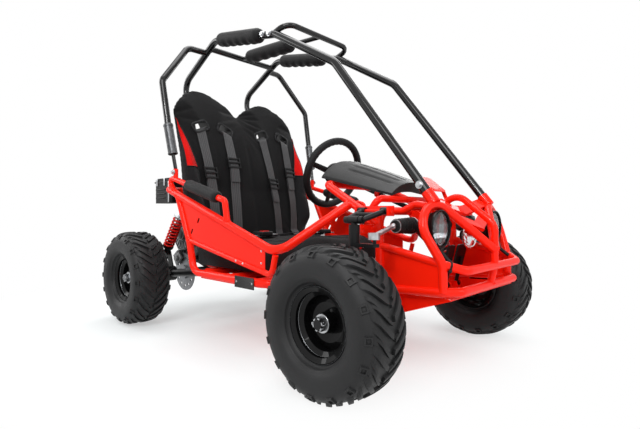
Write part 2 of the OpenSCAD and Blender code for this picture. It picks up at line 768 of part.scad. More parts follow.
// Fuel tank under the backrest, lying on a cross tube
module fuel_tank() color(black)
    translate([tank_x, 0, rail_z + branch_r - 1 + 0.1]) {
        linear_extrude(52) round_plan(78, 340, 18);
        translate([0, 120, 51]) cylinder(r = 17, h = 9);
    }

// Steering line from the pinion up to the wheel
pinion = [rack_x - 6, 92, rack_z - 9];
wheel_c = [14, 150, 584];
column = unit(wheel_c - pinion);
shaft_r = 8;
column_ring = pinion + (wheel_c - pinion) * (pinion[0] - diag_top[0]) / (pinion[0] - wheel_c[0]);
rack_end = arm_in_y - 8.5;
boot_in = 137;
boot_l = rack_end - boot_in;
boot_folds = 10;
module along(a, way) translate(a) rotate([0, acos(way[2]), atan2(way[1], way[0])]) children();

// Rack housing with its pinion tower
module rack_housing() color(iron)
    difference() {
        union() {
            bar_y([rack_x, 0, rack_z], 14, 350);
            rod(pinion, pinion + column * 36, 17);
        }
        bar_y([rack_x, 0, rack_z], 9, 400);
        rod(pinion + column * 17, pinion + column * 60, shaft_r + run_fit);
    }

// Rack bar with its two bellows
module steering_rack() color(rubber) {
    bar_y([rack_x, 0, rack_z], 8.9, 2 * rack_end);
    both()
        translate([rack_x, -boot_in, rack_z]) rotate([90, 0, 0])
            rotate_extrude()
                polygon(concat(
                    [[14.1, 0]],
                    [for (k = [0:boot_folds])
                        [22 - (k % 2) * 3.5 - k * 0.35, 4 + k * (boot_l - 10) / boot_folds]],
                    [[14, boot_l], [8.5, boot_l], [8.5, boot_l - 3], [15.5, boot_l - 6], [15.5, 6],
                        [14.1, 6]]
                ));
}

// Steering wheel on its shaft
module steering_wheel() color(black) {
    rod(pinion + column * 18, wheel_c - column * 40, shaft_r);
    along(wheel_c, column) {
        rotate_extrude() translate([wheel_d / 2 - grip_d / 2, 0]) circle(r = grip_d / 2);
        translate([0, 0, -42]) cylinder(r = 16, h = 14);
        translate([0, 0, -30]) cylinder(r1 = 26, r2 = 44, h = 22);
        translate([0, 0, -9]) cylinder(r = 44, h = 13);
        for (turn = [0, 105, 255])
            rotate(turn)
                rod([38, 0, -4], [wheel_d / 2 - grip_d / 2, 0, 0], 9.5);
    }
}

// Foot pedals on their pivots
module pedal(y, w) {
    difference() {
        union() {
            bar_y([pedal_x, y, pedal_z], 9, 26);
            rod([pedal_x, y, pedal_z], [pedal_x + 20, y, pedal_z + 84], 6);
            translate([pedal_x + 17, y, pedal_z + 88]) rotate([0, 14, 0])
                rotate([0, -90, 0]) linear_extrude(6) round_plan(72, w, 8);
        }
        bar_y([pedal_x, y, pedal_z], 5 + run_fit, 40);
    }
}
module throttle_pedal() color(iron) pedal(pedal_ys[0], 40);
module brake_pedal() color(iron) pedal(pedal_ys[1], 58);

// Wishbone with a bushed inner end and a bolt through its fork
module wishbone(z_in, z_out) {
    difference() {
        union() {
            for (s = [-1, 1]) {
                bar_x([front_x + s * 36, -arm_in_y, z_in], 9.5, 22);
                rod([front_x + s * 36, -arm_in_y, z_in], [front_x + s * 24, -king_y, z_out], 7);
                bar_x([front_x + s * 22.5, -king_y, z_out], 9, 10);
            }
            rod([front_x - 30, -arm_in_y - 34, z_in - arm_drop * 34 / arm_reach],
                [front_x + 30, -arm_in_y - 34, z_in - arm_drop * 34 / arm_reach], 6);
        }
        bar_x([front_x, -arm_in_y, z_in], 5 + run_fit, 130);
    }
    bar_x([front_x, -king_y, z_out], 5, 60);
}
module upper_arm_right() color(black) wishbone(upper_in_z, upper_out_z);
module upper_arm_left() color(black) mirror([0, 1, 0]) upper_arm_right();
module lower_arm_right() color(black) {
    wishbone(lower_in_z, lower_out_z);
    box([front_x - 26, damper_low[1] - 10, lower_out_z + 6],
        [front_x - 20, damper_low[1] + 10, damper_low[2] + 9]);
    translate([damper_x - 14, damper_low[1], damper_low[2]]) rotate([0, 90, 0])
        cylinder(r = 5, h = front_x - 22 - damper_x + 14);
}
module lower_arm_left() color(black) mirror([0, 1, 0]) lower_arm_right();

// Kingpin between the two wishbones
module upright() {
    difference() {
        union() {
            for (z = [upper_out_z, lower_out_z]) bar_x([front_x, -king_y, z], 10, 32);
            bar_z(front_x, -king_y, lower_out_z, upper_out_z, shaft_r);
        }
        for (z = [upper_out_z, lower_out_z]) bar_x([front_x, -king_y, z], 5 + run_fit, 60);
    }
}
module upright_right() color(iron) upright();
module upright_left() color(iron) mirror([0, 1, 0]) upright();

// Steering knuckle: sleeve, stub axle with its nut, and steering arm
hub_in = 38;
hub_out = 27;
stub_r = 12;
module knuckle() {
    difference() {
        union() {
            bar_z(front_x, -king_y, lower_out_z + 11.5, upper_out_z - 11.5, 13.5);
            stub(-king_y - 4);
            translate([front_x, -king_y, tie_out_z - 26]) {
                translate([0, -11, 0]) cube([steer_arm, 22, 8]);
                translate([steer_arm, 0, 0]) cylinder(r = 11, h = 8);
                translate([steer_arm, 0, 0]) cylinder(r = 4, h = 26);
                translate([steer_arm, 0, 26]) sphere(r = 6.5);
            }
        }
        bar_z(front_x, -king_y, lower_out_z, upper_out_z, shaft_r + run_fit);
    }
}
// Stub axle from a given Y out to its nut
module stub(y)
    translate([front_x, y, axle_z]) rotate([90, 0, 0]) {
        length = hub_y + y;
        cylinder(r = stub_r, h = length + hub_out + 16);
        translate([0, 0, length - hub_in - 22]) cylinder(r = 17, h = 21.6);
        translate([0, 0, length + hub_out + gap]) cylinder(r = 17, h = 11, $fn = 6);
    }
module knuckle_right() color(black) knuckle();
module knuckle_left() color(black) mirror([0, 1, 0]) knuckle();

// Tie rod with its ring end round the knuckle's ball
module tie_rod()
    difference() {
        union() {
            rod([rack_x, -arm_in_y, rack_z], [rack_x, -king_y, tie_out_z], tie_d / 2);
            translate([rack_x, -arm_in_y, rack_z]) sphere(r = 8);
            translate([rack_x, -king_y, tie_out_z - 8]) cylinder(r = 14, h = 16);
        }
        translate([rack_x, -king_y, tie_out_z - 30]) cylinder(r = 9, h = 60);
    }
module tie_rod_right() color(steel) tie_rod();
module tie_rod_left() color(steel) mirror([0, 1, 0]) tie_rod();

// Damper halves about the line from the upper to the lower eye, drawn along +Z
module damper_rod(eye_w, cup_r) {
    difference() {
        union() {
            rotate([90, 0, 0]) cylinder(r = eye_r, h = eye_w, center = true);
            cylinder(r = 6, h = 132);
            translate([0, 0, 44]) cylinder(r = cup_r, h = 5);
        }
        rotate([90, 0, 0]) cylinder(r = 5 + run_fit, h = 60, center = true);
    }
}
module damper_body(length, eye_w, cup_r) {
    difference() {
        union() {
            translate([0, 0, length]) rotate([90, 0, 0]) cylinder(r = eye_r, h = eye_w, center = true);
            translate([0, 0, 96]) cylinder(r = body_r, h = length - 96 - 6);
            translate([0, 0, length - 36]) cylinder(r = cup_r, h = 6);
        }
        translate([0, 0, 90]) cylinder(r = 6 + run_fit, h = length - 90 - 20);
        translate([0, 0, length]) rotate([90, 0, 0]) cylinder(r = 7, h = 60, center = true);
    }
}
body_r = 10.5;
eye_r = 12;
front_damper_l = norm(damper_low - damper_top);
rear_damper_l = norm(damper_rear_low - damper_rear_top);
// The eyes' bores lie along X at the front and along Y at the rear
module front_line()
    translate(damper_top)
        rotate([180 - acos((damper_top[2] - damper_low[2]) / front_damper_l), 0, 0]) rotate(90) children();
module rear_line()
    translate(damper_rear_top)
        rotate([0, 180 + acos((damper_rear_top[2] - damper_rear_low[2]) / rear_damper_l), 0]) children();
module front_damper_rod_right() color(steel) front_line() damper_rod(22, front_spring_d / 2 + 1);
module front_damper_rod_left() color(steel) mirror([0, 1, 0]) front_damper_rod_right();
module front_damper_body_right() color(black)
    front_line() damper_body(front_damper_l, 22, front_spring_d / 2 + 1);
module front_damper_body_left() color(black) mirror([0, 1, 0]) front_damper_body_right();
module rear_damper_rods() color(steel) both() rear_line() damper_rod(22, rear_spring_d / 2 + 1);
module rear_damper_bodies() color(black) both()
    rear_line() damper_body(rear_damper_l, 22, rear_spring_d / 2 + 1);

// Coil spring: one unbroken wire whose ends stand square on the cups
curl_rings = 8;
wire_sides = 6;
function spring_path(d, coils, z0, z1) =
    let (
        r = (d - spring_wire) / 2,
        steps = coils * curl_rings,
        a = z0 + 1.5 * spring_wire,
        b = z1 - 1.5 * spring_wire
    )
    concat(
        [[r, 0, z0]],
        [for (k = [0:steps])
            let (q = 360 * k / curl_rings)
            [r * cos(q), r * sin(q), a + (b - a) * k / steps]],
        [[r, 0, z1]]
    );
function self_gap(path) =
    min([for (i = [0:len(path) - 1], j = [i + 4:1:len(path) - 1]) norm(path[i] - path[j])]) - spring_wire;
module wire(path) {
    last = len(path) - 1;
    ways = [for (i = [0:last])
        i == 0 || i == last ? [0, 0, 1] : unit(path[i + 1] - path[i - 1])];
    pts = [for (i = [0:last], q = [0:wire_sides - 1])
        let (
            out = unit([path[i][0], path[i][1], 0]),
            e1 = unit(out - ways[i] * (out * ways[i])),
            e2 = cross(ways[i], e1),
            turn = 360 * q / wire_sides
        )
        path[i] + (e1 * cos(turn) + e2 * sin(turn)) * spring_wire / 2];
    n = wire_sides;
    polyhedron(pts, concat(
        [for (q = [1:n - 2]) [0, q, q + 1]],
        [for (i = [0:last - 1], q = [0:n - 1]) [n * i + q, n * i + n + q, n * i + (q + 1) % n]],
        [for (i = [0:last - 1], q = [0:n - 1])
            [n * i + (q + 1) % n, n * i + n + q, n * i + n + (q + 1) % n]],
        [for (q = [1:n - 2]) [n * last, n * last + q + 1, n * last + q]]
    ));
}
front_wire = spring_path(front_spring_d, front_coils, 49.3, front_damper_l - 36.3);
rear_wire = spring_path(rear_spring_d, rear_coils, 49.3, rear_damper_l - 36.3);
echo(str("least gap in the front spring ", self_gap(front_wire)));
echo(str("least gap in the rear spring ", self_gap(rear_wire)));
module front_spring_right() color(red) front_line() wire(front_wire);
module front_spring_left() color(red) mirror([0, 1, 0]) front_spring_right();
module rear_springs() color(red) both() rear_line() wire(rear_wire);

// Pressed steel rim about the wheel's axis, outboard side up
bead_r = bead_d / 2;
lip_r = bead_r + 10;
module rim()
    rotate_extrude()
        polygon([
            [lip_r, 46], [lip_r, 43.5], [bead_r + 1.5, 41.5], [bead_r, 40], [bead_r, 29], [bead_r - 10, 21],
            [bead_r - 10, -21], [bead_r, -29], [bead_r, -40], [bead_r + 1.5, -41.5], [lip_r, -43.5],
            [lip_r, -46], [lip_r - 3, -46], [bead_r - 3, -40], [bead_r - 3, -30], [bead_r - 13, -22],
            [bead_r - 13, -4], [46, 2], [25, -3], [25, -hub_in], [stub_r + run_fit, -hub_in],
            [stub_r + run_fit, hub_out], [23, hub_out], [25, 4], [46, 9], [bead_r - 13, 3],
            [bead_r - 13, 22], [bead_r - 3, 30], [bead_r - 3, 40], [lip_r - 3, 46]
        ]);

// Tyre carcass, a shell of revolution open at the beads
carcass_r = tyre_r - lug_h;
wall = 8;
function carcass(q, inset) =
    let (
        mid = (carcass_r + bead_r + 12) / 2,
        ry = carcass_r - mid - inset,
        rx = tyre_w / 2 - inset,
        c = cos(q),
        s = sin(q)
    )
    [mid + ry * sign(s) * pow(abs(s), 0.75), rx * sign(c) * pow(abs(c), 0.55)];
module tyre() {
    sweep = [for (q = [-58:14.75:238]) q];
    rotate_extrude()
        polygon(concat(
            [[bead_r + 0.3, 39.5], [lip_r + 1, 42.8]],
            [for (q = sweep) carcass(q, 0)],
            [[lip_r + 1, -42.8], [bead_r + 0.3, -39.5], [bead_r + 0.3, -30]],
            [for (i = [len(sweep) - 1:-1:0]) carcass(sweep[i], wall)],
            [[bead_r + 0.3, 30]]
        ));
    lugs = 20;
    for (k = [0:lugs - 1], s = [-1, 1])
        rotate(360 / lugs * (k + s * 0.25))
            translate([tyre_r - 20, 0, s * tyre_w * 0.24])
                rotate([s * 24, 0, 0])
                    translate([0, -8, -tyre_w * 0.2]) cube([19, 16, tyre_w * 0.4]);
}
// Wheel place of the right side: the axis points outboard
module wheel_at(x) translate([x, -hub_y, axle_z]) rotate([90, 0, 0]) children();
module front_rim_right() color(black) wheel_at(front_x) rim();
module front_rim_left() color(black) mirror([0, 1, 0]) front_rim_right();
module front_tyre_right() color(rubber) wheel_at(front_x) tyre();
module front_tyre_left() color(rubber) mirror([0, 1, 0]) front_tyre_right();
module rear_rims() color(black) both() wheel_at(rear_x) rim();
module rear_tyres() color(rubber) both() wheel_at(rear_x) tyre();

// Swing arm with its bearing housings, damper lugs and engine plate
bearing_r = 30;
axle_r = 15;
plate_z = 228;
cross_x = -410;
cross_z = pivot_z + (axle_z - pivot_z) * (cross_x - pivot_x) / (rear_x - pivot_x);
module swing_arm() color(black) {
    difference() {
        union() {
            both() {
                rod([pivot_x, -swing_y, pivot_z], [rear_x, -swing_y, axle_z], 14);
                bar_y([pivot_x, -swing_y, pivot_z], 16, 36);
                bar_y([rear_x, -swing_y, axle_z], bearing_r, 44);
                for (y = [-swing_y - 17, -swing_y + 12])
                    side_plate([
                        [rear_x - 26, axle_z + 6],
                        [rear_x + 8, axle_z + 22],
                        [damper_rear_low[0] + 12, damper_rear_low[2] + 6],
                        [damper_rear_low[0] + 3, damper_rear_low[2] + 11],
                        [damper_rear_low[0] - 8, damper_rear_low[2] + 9],
                        [damper_rear_low[0] - 12, damper_rear_low[2] - 3]
                    ], y, y + 5);
                side_plate([
                    [cross_x + 14, cross_z - 6], [cross_x - 12, cross_z - 6], [rear_x + 20, plate_z - 15],
                    [-650, plate_z - 8], [-650, plate_z + 1], [cross_x + 14, plate_z + 1]
                ], -128, -122);
            }
            rod([cross_x, -swing_y, cross_z], [cross_x, swing_y, cross_z], 13);
            box([-655, -140, plate_z], [cross_x + 16, 140, plate_z + 5]);
        }
        both() {
            bar_y([pivot_x, -swing_y, pivot_z], 8 + run_fit, 60);
            bar_y([rear_x, -swing_y, axle_z], axle_r + run_fit, 60);
        }
    }
    both() bar_y(damper_rear_low, 5, 40);
}

// Single-cylinder engine: crankcase, finned barrel, head and blower housing
engine_x = -560;
case_low = plate_z + 5;
crank_z = case_low + 106;
sprocket_y = 165;
drive_r = 26;
module engine_block() color(iron) {
    translate([engine_x, 0, case_low]) linear_extrude(140) round_plan(164, 200, 18);
    for (k = [0:6])
        translate([engine_x + 12, 0, case_low + 148 + 10 * k]) linear_extrude(5) round_plan(124, 150, 10);
    translate([engine_x + 12, 0, case_low + 138]) linear_extrude(84) round_plan(88, 110, 8);
    translate([engine_x + 12, 0, case_low + 218]) linear_extrude(72) round_plan(132, 176, 20);
    translate([engine_x, -99, crank_z]) rotate([90, 0, 0]) {
        cylinder(r = 104, h = 62);
        cylinder(r1 = 78, r2 = 70, h = 84);
        cylinder(r = 26, h = 92);
    }
    translate([engine_x, 99, crank_z]) rotate([-90, 0, 0]) {
        cylinder(r = 11, h = sprocket_y - 99 + 8);
        cylinder(r = 58, h = 30);
        translate([0, 0, sprocket_y - 99 - 3]) sprocket(drive_r, 14, 6, 5);
    }
}

// Sprocket blank with teeth round its rim
module sprocket(r, teeth, thick, bore)
    linear_extrude(thick)
        difference() {
            polygon([for (k = [0:4 * teeth - 1])
                let (rise = [0, 0, 1, 1][k % 4], q = 90 * (k + 0.5) / teeth)
                (r - 4 + 4 * rise) * [cos(q), sin(q)]]);
            circle(r = bore);
        }

// Air cleaner case with its inlet elbow
module air_filter_box() color(black) {
    translate([-606, -218, 470]) linear_extrude(102) round_plan(140, 62, 14);
    translate([-606, -218, 571]) linear_extrude(6) round_plan(124, 48, 10);
    translate([-590, -188, 500]) rotate([-90, 0, 0]) cylinder(r = 22, h = 188 - 88 - 0.2);
}

// Silencer behind the cylinder, with its pipe
module muffler() color(iron) {
    translate([-672, -74, 452]) rotate([-90, 0, 0]) cylinder(r = 36, h = 180);
    rod([engine_x - 54.3, 34, 475], [-672, 34, 475], 12);
}

// Roller chain as a closed band between the two sprockets
axle_sprocket_r = 78;
chain_h = 8;
module drive_chain() color(steel)
    translate([0, sprocket_y + 4, 0]) rotate([90, 0, 0]) linear_extrude(8)
        difference() {
            chain_loop(chain_h);
            chain_loop(1);
        }
module chain_loop(grow)
    hull() {
        translate([engine_x, crank_z]) circle(r = drive_r + grow, $fn = 64);
        translate([rear_x, axle_z]) circle(r = axle_sprocket_r + grow, $fn = 96);
    }

// Live axle with its brake disc and end nuts
disc_y = -178;
module rear_axle() color(steel) {
    bar_y([rear_x, 0, axle_z], axle_r, 2 * (hub_y - hub_in - 12));
    both()
        translate([rear_x, -hub_y + hub_in + 13, axle_z]) rotate([90, 0, 0]) {
            cylinder(r = stub_r, h = hub_in + hub_out + 29);
            cylinder(r = 19, h = 12.6);
            translate([0, 0, hub_in + hub_out + 13 + gap]) cylinder(r = 17, h = 11, $fn = 6);
        }
    translate([rear_x, disc_y, axle_z]) rotate([90, 0, 0])
        difference() {
            union() {
                cylinder(r = 78, h = 4, center = true);
                cylinder(r = 28, h = 20, center = true);
            }
            for (k = [0:11]) rotate(30 * k) translate([58, 0, 0]) cylinder(r = 6, h = 10, center = true);
        }
}
module rear_sprocket() color(steel)
    translate([rear_x, sprocket_y + 3, axle_z]) rotate([90, 0, 0])
        difference() {
            sprocket(axle_sprocket_r, 40, 6, axle_r + 0.02);
            for (k = [0:5]) rotate(60 * k) translate([46, 0, -1]) cylinder(r = 14, h = 8);
        }

lower_frame();
side_frame_right();
side_frame_left();
front_frame();
dash_frame();
rear_frame();
floor_pan();
side_panels();
nose_panels();
cage_front();
cage_rear();
cage_braces();
foam_pads();
fasteners();
seat_back();
seat_base();
harness_belts();
harness_hardware();
dash_cowl();
headlight_shells();
headlight_lenses();
horn();
fuel_tank();
rack_housing();
steering_rack();
steering_wheel();
throttle_pedal();
brake_pedal();
upper_arm_right();
upper_arm_left();
lower_arm_right();
lower_arm_left();
upright_right();
upright_left();
knuckle_right();
knuckle_left();
tie_rod_right();
tie_rod_left();
front_damper_rod_right();
front_damper_rod_left();
front_damper_body_right();
front_damper_body_left();
front_spring_right();
front_spring_left();
front_rim_right();
front_rim_left();
front_tyre_right();
front_tyre_left();
swing_arm();
engine_block();
air_filter_box();
muffler();
drive_chain();
rear_axle();
rear_sprocket();
rear_rims();
rear_tyres();
rear_damper_rods();
rear_damper_bodies();
rear_springs();
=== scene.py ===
"""Two-seat off-road kart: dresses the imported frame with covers, belts, tyres, lamps and finishes."""
from math import acos, atan2, cos, pi, radians, sin, tan

import bmesh
import bpy
from mathutils import Matrix, Vector
from mathutils.bvhtree import BVHTree


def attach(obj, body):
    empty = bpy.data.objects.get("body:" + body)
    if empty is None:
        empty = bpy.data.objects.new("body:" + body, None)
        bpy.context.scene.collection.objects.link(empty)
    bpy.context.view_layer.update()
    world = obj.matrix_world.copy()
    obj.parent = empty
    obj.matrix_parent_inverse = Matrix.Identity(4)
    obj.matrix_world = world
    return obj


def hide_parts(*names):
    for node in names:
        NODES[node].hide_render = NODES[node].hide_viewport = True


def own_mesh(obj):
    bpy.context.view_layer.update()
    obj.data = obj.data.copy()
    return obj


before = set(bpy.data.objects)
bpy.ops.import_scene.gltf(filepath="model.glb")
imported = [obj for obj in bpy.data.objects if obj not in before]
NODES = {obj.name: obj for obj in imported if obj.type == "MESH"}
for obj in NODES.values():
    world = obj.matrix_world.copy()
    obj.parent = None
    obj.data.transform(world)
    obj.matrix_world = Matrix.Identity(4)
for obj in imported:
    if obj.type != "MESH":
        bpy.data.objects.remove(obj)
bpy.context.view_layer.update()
FULL_TURN = 2 * pi
SIDES = {"right": -1, "left": 1}
WHITE = (1.0, 1.0, 1.0, 1.0)


# Finishes

class Value:
    """One output of a surface's nodes; arithmetic on it adds Math nodes."""

    def __init__(self, surface, socket):
        self.surface = surface
        self.socket = socket

    def maths(self, operation, first, second):
        return self.surface.node("ShaderNodeMath", {"operation": operation}, {0: first, 1: second})

    def __add__(self, other):
        return self.maths("ADD", self, other)

    def __radd__(self, other):
        return self.maths("ADD", other, self)

    def __mul__(self, other):
        return self.maths("MULTIPLY", self, other)

    def __rmul__(self, other):
        return self.maths("MULTIPLY", other, self)


class Surface:
    """A material whose colour, gloss and relief come from its nodes."""

    def __init__(self, name):
        self.material = bpy.data.materials.new(name)
        self.material.use_nodes = True
        self.tree = self.material.node_tree
        self.shader = self.tree.nodes["Principled BSDF"]
        self.place = self.node("ShaderNodeTexCoord", output="Object")

    def node(self, kind, settings=None, sockets=None, output=0):
        made = self.tree.nodes.new(kind)
        for key, setting in (settings or {}).items():
            setattr(made, key, setting)
        for key, source in (sockets or {}).items():
            self.feed(made.inputs[key], source)
        return Value(self, made.outputs[output])

    def feed(self, socket, source):
        if isinstance(source, Value):
            self.tree.links.new(source.socket, socket)
        else:
            socket.default_value = source

    def noise(self, scale, detail=3.0, at=None):
        return self.node("ShaderNodeTexNoise", None, {
            "Vector": at or self.place, "Scale": scale, "Detail": detail})

    def cells(self, scale, at=None):
        return self.node("ShaderNodeTexVoronoi", {"feature": "DISTANCE_TO_EDGE"}, {
            "Vector": at or self.place, "Scale": scale})

    def wave(self, direction, uv, scale, **more):
        return self.node("ShaderNodeTexWave", {"bands_direction": direction}, {
            "Vector": uv, "Scale": scale, **more})

    def mix(self, mask, first, second):
        return self.node("ShaderNodeMix", {"data_type": "RGBA"}, {0: mask, 6: first, 7: second}, 2)

    def stretch(self, scale, at=None):
        return self.node("ShaderNodeMapping", None, {"Vector": at or self.place, "Scale": scale})

    def tint(self, mask, dark, light):
        return self.mix(mask, colour(*dark), colour(*light))

    def relief(self, height, depth):
        return self.node("ShaderNodeBump", None, {"Height": height, "Distance": depth, "Strength": 1.0})

    def shade(self, sockets):
        for key, source in sockets.items():
            self.feed(self.shader.inputs[key], source)
        return self.material


def colour(red, green, blue):
    """Linear colour of an sRGB triple from 0 to 255."""
    shares = [c / 255 for c in (red, green, blue)]
    return tuple(c / 12.92 if c <= 0.04045 else ((c + 0.055) / 1.055) ** 2.4 for c in shares) + (1.0,)


def lacquer(name, deep, bright, coat=0.28):
    """Gloss paint under a clear coat, with a faint orange-peel skin."""
    s = Surface(name)
    peel = s.noise(420, 1.0)
    cloud = s.noise(6)
    return s.shade({
        "Base Color": s.tint(cloud, deep, bright), "Roughness": 0.42 + 0.16 * s.noise(55),
        "Normal": s.relief(peel, 0.00008), "Specular IOR Level": 0.05, "Coat Weight": coat,
        "Coat Roughness": 0.035})


def metal(name, dark, light, rough, streak=(1, 1, 1), depth=0.0002):
    """Bare or plated metal with streaks that follow how it was made."""
    s = Surface(name)
    grain = s.noise(90, 4.0, s.stretch(streak))
    return s.shade({
        "Base Color": s.tint(grain, dark, light), "Metallic": 1.0, "Roughness": rough + 0.22 * grain,
        "Normal": s.relief(s.noise(600, 2.0), depth)})


def moulded(name, dark, light, rough, grain, depth, sheen=0.0):
    """Matt plastic, foam or rubber with a grain of a given fineness."""
    s = Surface(name)
    fine = s.noise(grain, 4.0)
    return s.shade({
        "Base Color": s.tint(s.noise(14), dark, light), "Roughness": rough + 0.16 * fine,
        "Normal": s.relief(fine, depth), "Sheen Weight": sheen, "Sheen Roughness": 0.4,
        "Specular IOR Level": 0.2})


def cover_cloth(name, dark, light):
    """Fine knitted seat cover: tiny rows of loops and a soft nap."""
    s = Surface(name)
    wale = s.cells(760, s.stretch((1.0, 1.0, 0.7)))
    nap = s.noise(120, 5.0)
    worn = s.noise(5)
    return s.shade({
        "Base Color": s.tint(0.65 * wale * 4.0 + 0.35 * nap, dark, light), "Roughness": 0.72 + 0.2 * worn,
        "Normal": s.relief(wale + 0.4 * nap, 0.0005), "Sheen Weight": 0.05, "Sheen Roughness": 0.5,
        "Specular IOR Level": 0.12})


def belt_weave():
    """Ribbed webbing: lengthwise ribs crossed by the weft, read from the strap's own UV map."""
    s = Surface("belt_weave")
    uv = s.node("ShaderNodeUVMap", {"uv_map": "weave"})
    ribs = s.wave("X", uv, 1.6, Distortion=0.0)
    weft = s.wave("Y", uv, 8.0, Distortion=0.4, Detail=1.0)
    worn = s.noise(30, 4.0)
    return s.shade({
        "Base Color": s.tint(0.5 * ribs + 0.3 * weft + 0.2 * worn, (20, 20, 21), (72, 72, 74)),
        "Roughness": 0.5 + 0.3 * worn, "Normal": s.relief(ribs + 0.3 * weft, 0.0007),
        "Sheen Weight": 0.15, "Sheen Roughness": 0.35})


def tyre_rubber():
    """Rubber with fine moulding lines round the wall, read from the tyre's own UV map, and grey bloom."""
    s = Surface("tyre_rubber")
    uv = s.node("ShaderNodeUVMap", {"uv_map": "round"})
    lines = s.wave("Y", uv, 16.0, Distortion=0.0)
    bloom = s.noise(26, 6.0)
    pits = s.noise(700, 2.0)
    return s.shade({
        "Base Color": s.tint(bloom, (11, 11, 12), (33, 33, 34)), "Roughness": 0.4 + 0.28 * bloom,
        "Normal": s.relief(0.5 * lines + pits, 0.00028), "Specular IOR Level": 0.3})


def lamp_glass():
    """Clear lamp glass with faint moulded waves."""
    s = Surface("lamp_glass")
    swirl = s.noise(60, 2.0)
    return s.shade({
        "Base Color": s.mix(swirl, (0.93, 0.95, 0.96, 1.0), WHITE), "Roughness": 0.02 + 0.04 * swirl,
        "Normal": s.relief(swirl, 0.00004), "Transmission Weight": 1.0, "IOR": 1.3})


RED = lacquer("frame_red", (238, 24, 6), (253, 34, 8))
BLACK = lacquer("cage_black", (5, 5, 6), (11, 11, 12), 0.7)
RIM_BLACK = lacquer("rim_black", (5, 5, 5), (11, 11, 12))
SPRING_RED = lacquer("spring_red", (190, 18, 14), (215, 28, 20))
FOAM = moulded("foam_sleeve", (10, 10, 11), (20, 20, 21), 0.55, 950, 0.0006, 0.05)
GRIP = moulded("grip_foam", (12, 12, 13), (26, 26, 27), 0.5, 800, 0.0005)
MOULDING = moulded("moulding", (10, 10, 11), (19, 19, 20), 0.36, 520, 0.0003)
BELLOWS = moulded("bellows_rubber", (13, 13, 14), (28, 28, 28), 0.5, 380, 0.0003)
COVER = cover_cloth("seat_cover", (8, 8, 9), (22, 22, 23))
COVER_SIDE = cover_cloth("seat_side", (17, 17, 18), (34, 34, 36))
COVER_RED = cover_cloth("seat_red", (170, 6, 6), (238, 20, 16))
TRIM = moulded("belt_trim", (24, 24, 25), (44, 44, 46), 0.2, 300, 0.0002)
PIPING = moulded("seat_piping", (10, 10, 11), (24, 24, 25), 0.5, 300, 0.0004)
WEBBING = belt_weave()
TYRE = tyre_rubber()
GLASS = lamp_glass()
ZINC = metal("zinc", (150, 152, 155), (214, 216, 218), 0.22)
CHROME = metal("reflector", (196, 198, 202), (240, 241, 243), 0.05, depth=0.00003)
# Painted shade: the lamp mirror is chrome given a darker colour, standing for the dark inside of the lamp.
REFLECTOR = metal("lamp_reflector", (64, 65, 68), (148, 149, 152), 0.1, depth=0.00003)
STEEL = metal("running_steel", (88, 90, 92), (160, 162, 165), 0.26, (1, 8, 1))
CASTING = metal("casting", (96, 97, 98), (158, 159, 160), 0.42, depth=0.0007)
RACK_IRON = metal("rack_iron", (30, 30, 32), (66, 66, 68), 0.4, (1, 6, 1), 0.0003)
SLEEVE_STEEL = metal("sleeve_steel", (50, 51, 53), (104, 105, 107), 0.24)
CHAIN = metal("chain_steel", (60, 56, 50), (136, 130, 120), 0.3)
BLACK_STEEL = moulded("black_steel", (11, 11, 12), (24, 24, 25), 0.28, 300, 0.0002)

# What each node wears; a star stands for right and left
NODE_FINISH = {
    RED: "lower_frame side_frame_* front_frame dash_frame rear_frame floor_pan side_panels nose_panels",
    BLACK: "cage_front cage_rear cage_braces",
    FOAM: "foam_pads",
    COVER: "seat_back seat_base",
    WEBBING: "harness_belts",
    MOULDING: "harness_hardware dash_cowl fuel_tank air_filter_box headlight_shells",
    GLASS: "headlight_lenses",
    BLACK_STEEL: "horn throttle_pedal brake_pedal upper_arm_* lower_arm_* upright_* knuckle_* "
                 "front_damper_body_* swing_arm rear_damper_bodies",
    RACK_IRON: "rack_housing muffler",
    BELLOWS: "steering_rack",
    GRIP: "steering_wheel",
    ZINC: "fasteners tie_rod_* front_damper_rod_* rear_damper_rods",
    SPRING_RED: "front_spring_* rear_springs",
    RIM_BLACK: "front_rim_* rear_rims",
    TYRE: "front_tyre_* rear_tyres",
    CASTING: "engine_block",
    CHAIN: "drive_chain",
    STEEL: "rear_axle rear_sprocket",
}
for finish, names in NODE_FINISH.items():
    for name in names.split():
        for node in dict.fromkeys(name.replace("*", label) for label in SIDES):
            NODES[node].data.materials.clear()
            NODES[node].data.materials.append(finish)


# Objects in the scene

def put(name, data):
    """A new object in the scene."""
    made = bpy.data.objects.new(name, data)
    bpy.context.scene.collection.objects.link(made)
    return made


def put_shape(name, bm):
    """A new object in the scene from a shape, which is used up."""
    mesh = bpy.data.meshes.new(name)
    bm.to_mesh(mesh)
    bm.free()
    return put(name, mesh)


# Camera, floor and light

PHOTO_WIDTH = 640  # pixels, as the focal length below
FOCAL = 434.8
SENSOR = 36.0
EYE = (1.1584, -1.126, 0.422)
HEADING = radians(43.64)
FLOOR_REACH = 14
WHITE_FROM = (-0.5, 0.25, 0.0)
SOFT_BOXES = (
    ("key_box", (1.8, -2.6, 3.0), (0, 0, 0.4), 2.2, 92),
    ("spark_box", (1.2, -3.0, 2.2), (0, 0, 0.5), 0.3, 16),
    ("fill_box", (3.3, 0.4, 1.9), (0, 0, 0.4), 1.6, 26),
    ("top_box", (-0.4, 0.3, 3.4), (0, 0, 0.3), 2.4, 70),
    ("rear_box", (-2.8, -1.6, 2.0), (0, 0, 0.5), 1.6, 34),
    ("left_box", (-1.0, 3.2, 2.0), (0, 0, 0.5), 1.8, 34),
)


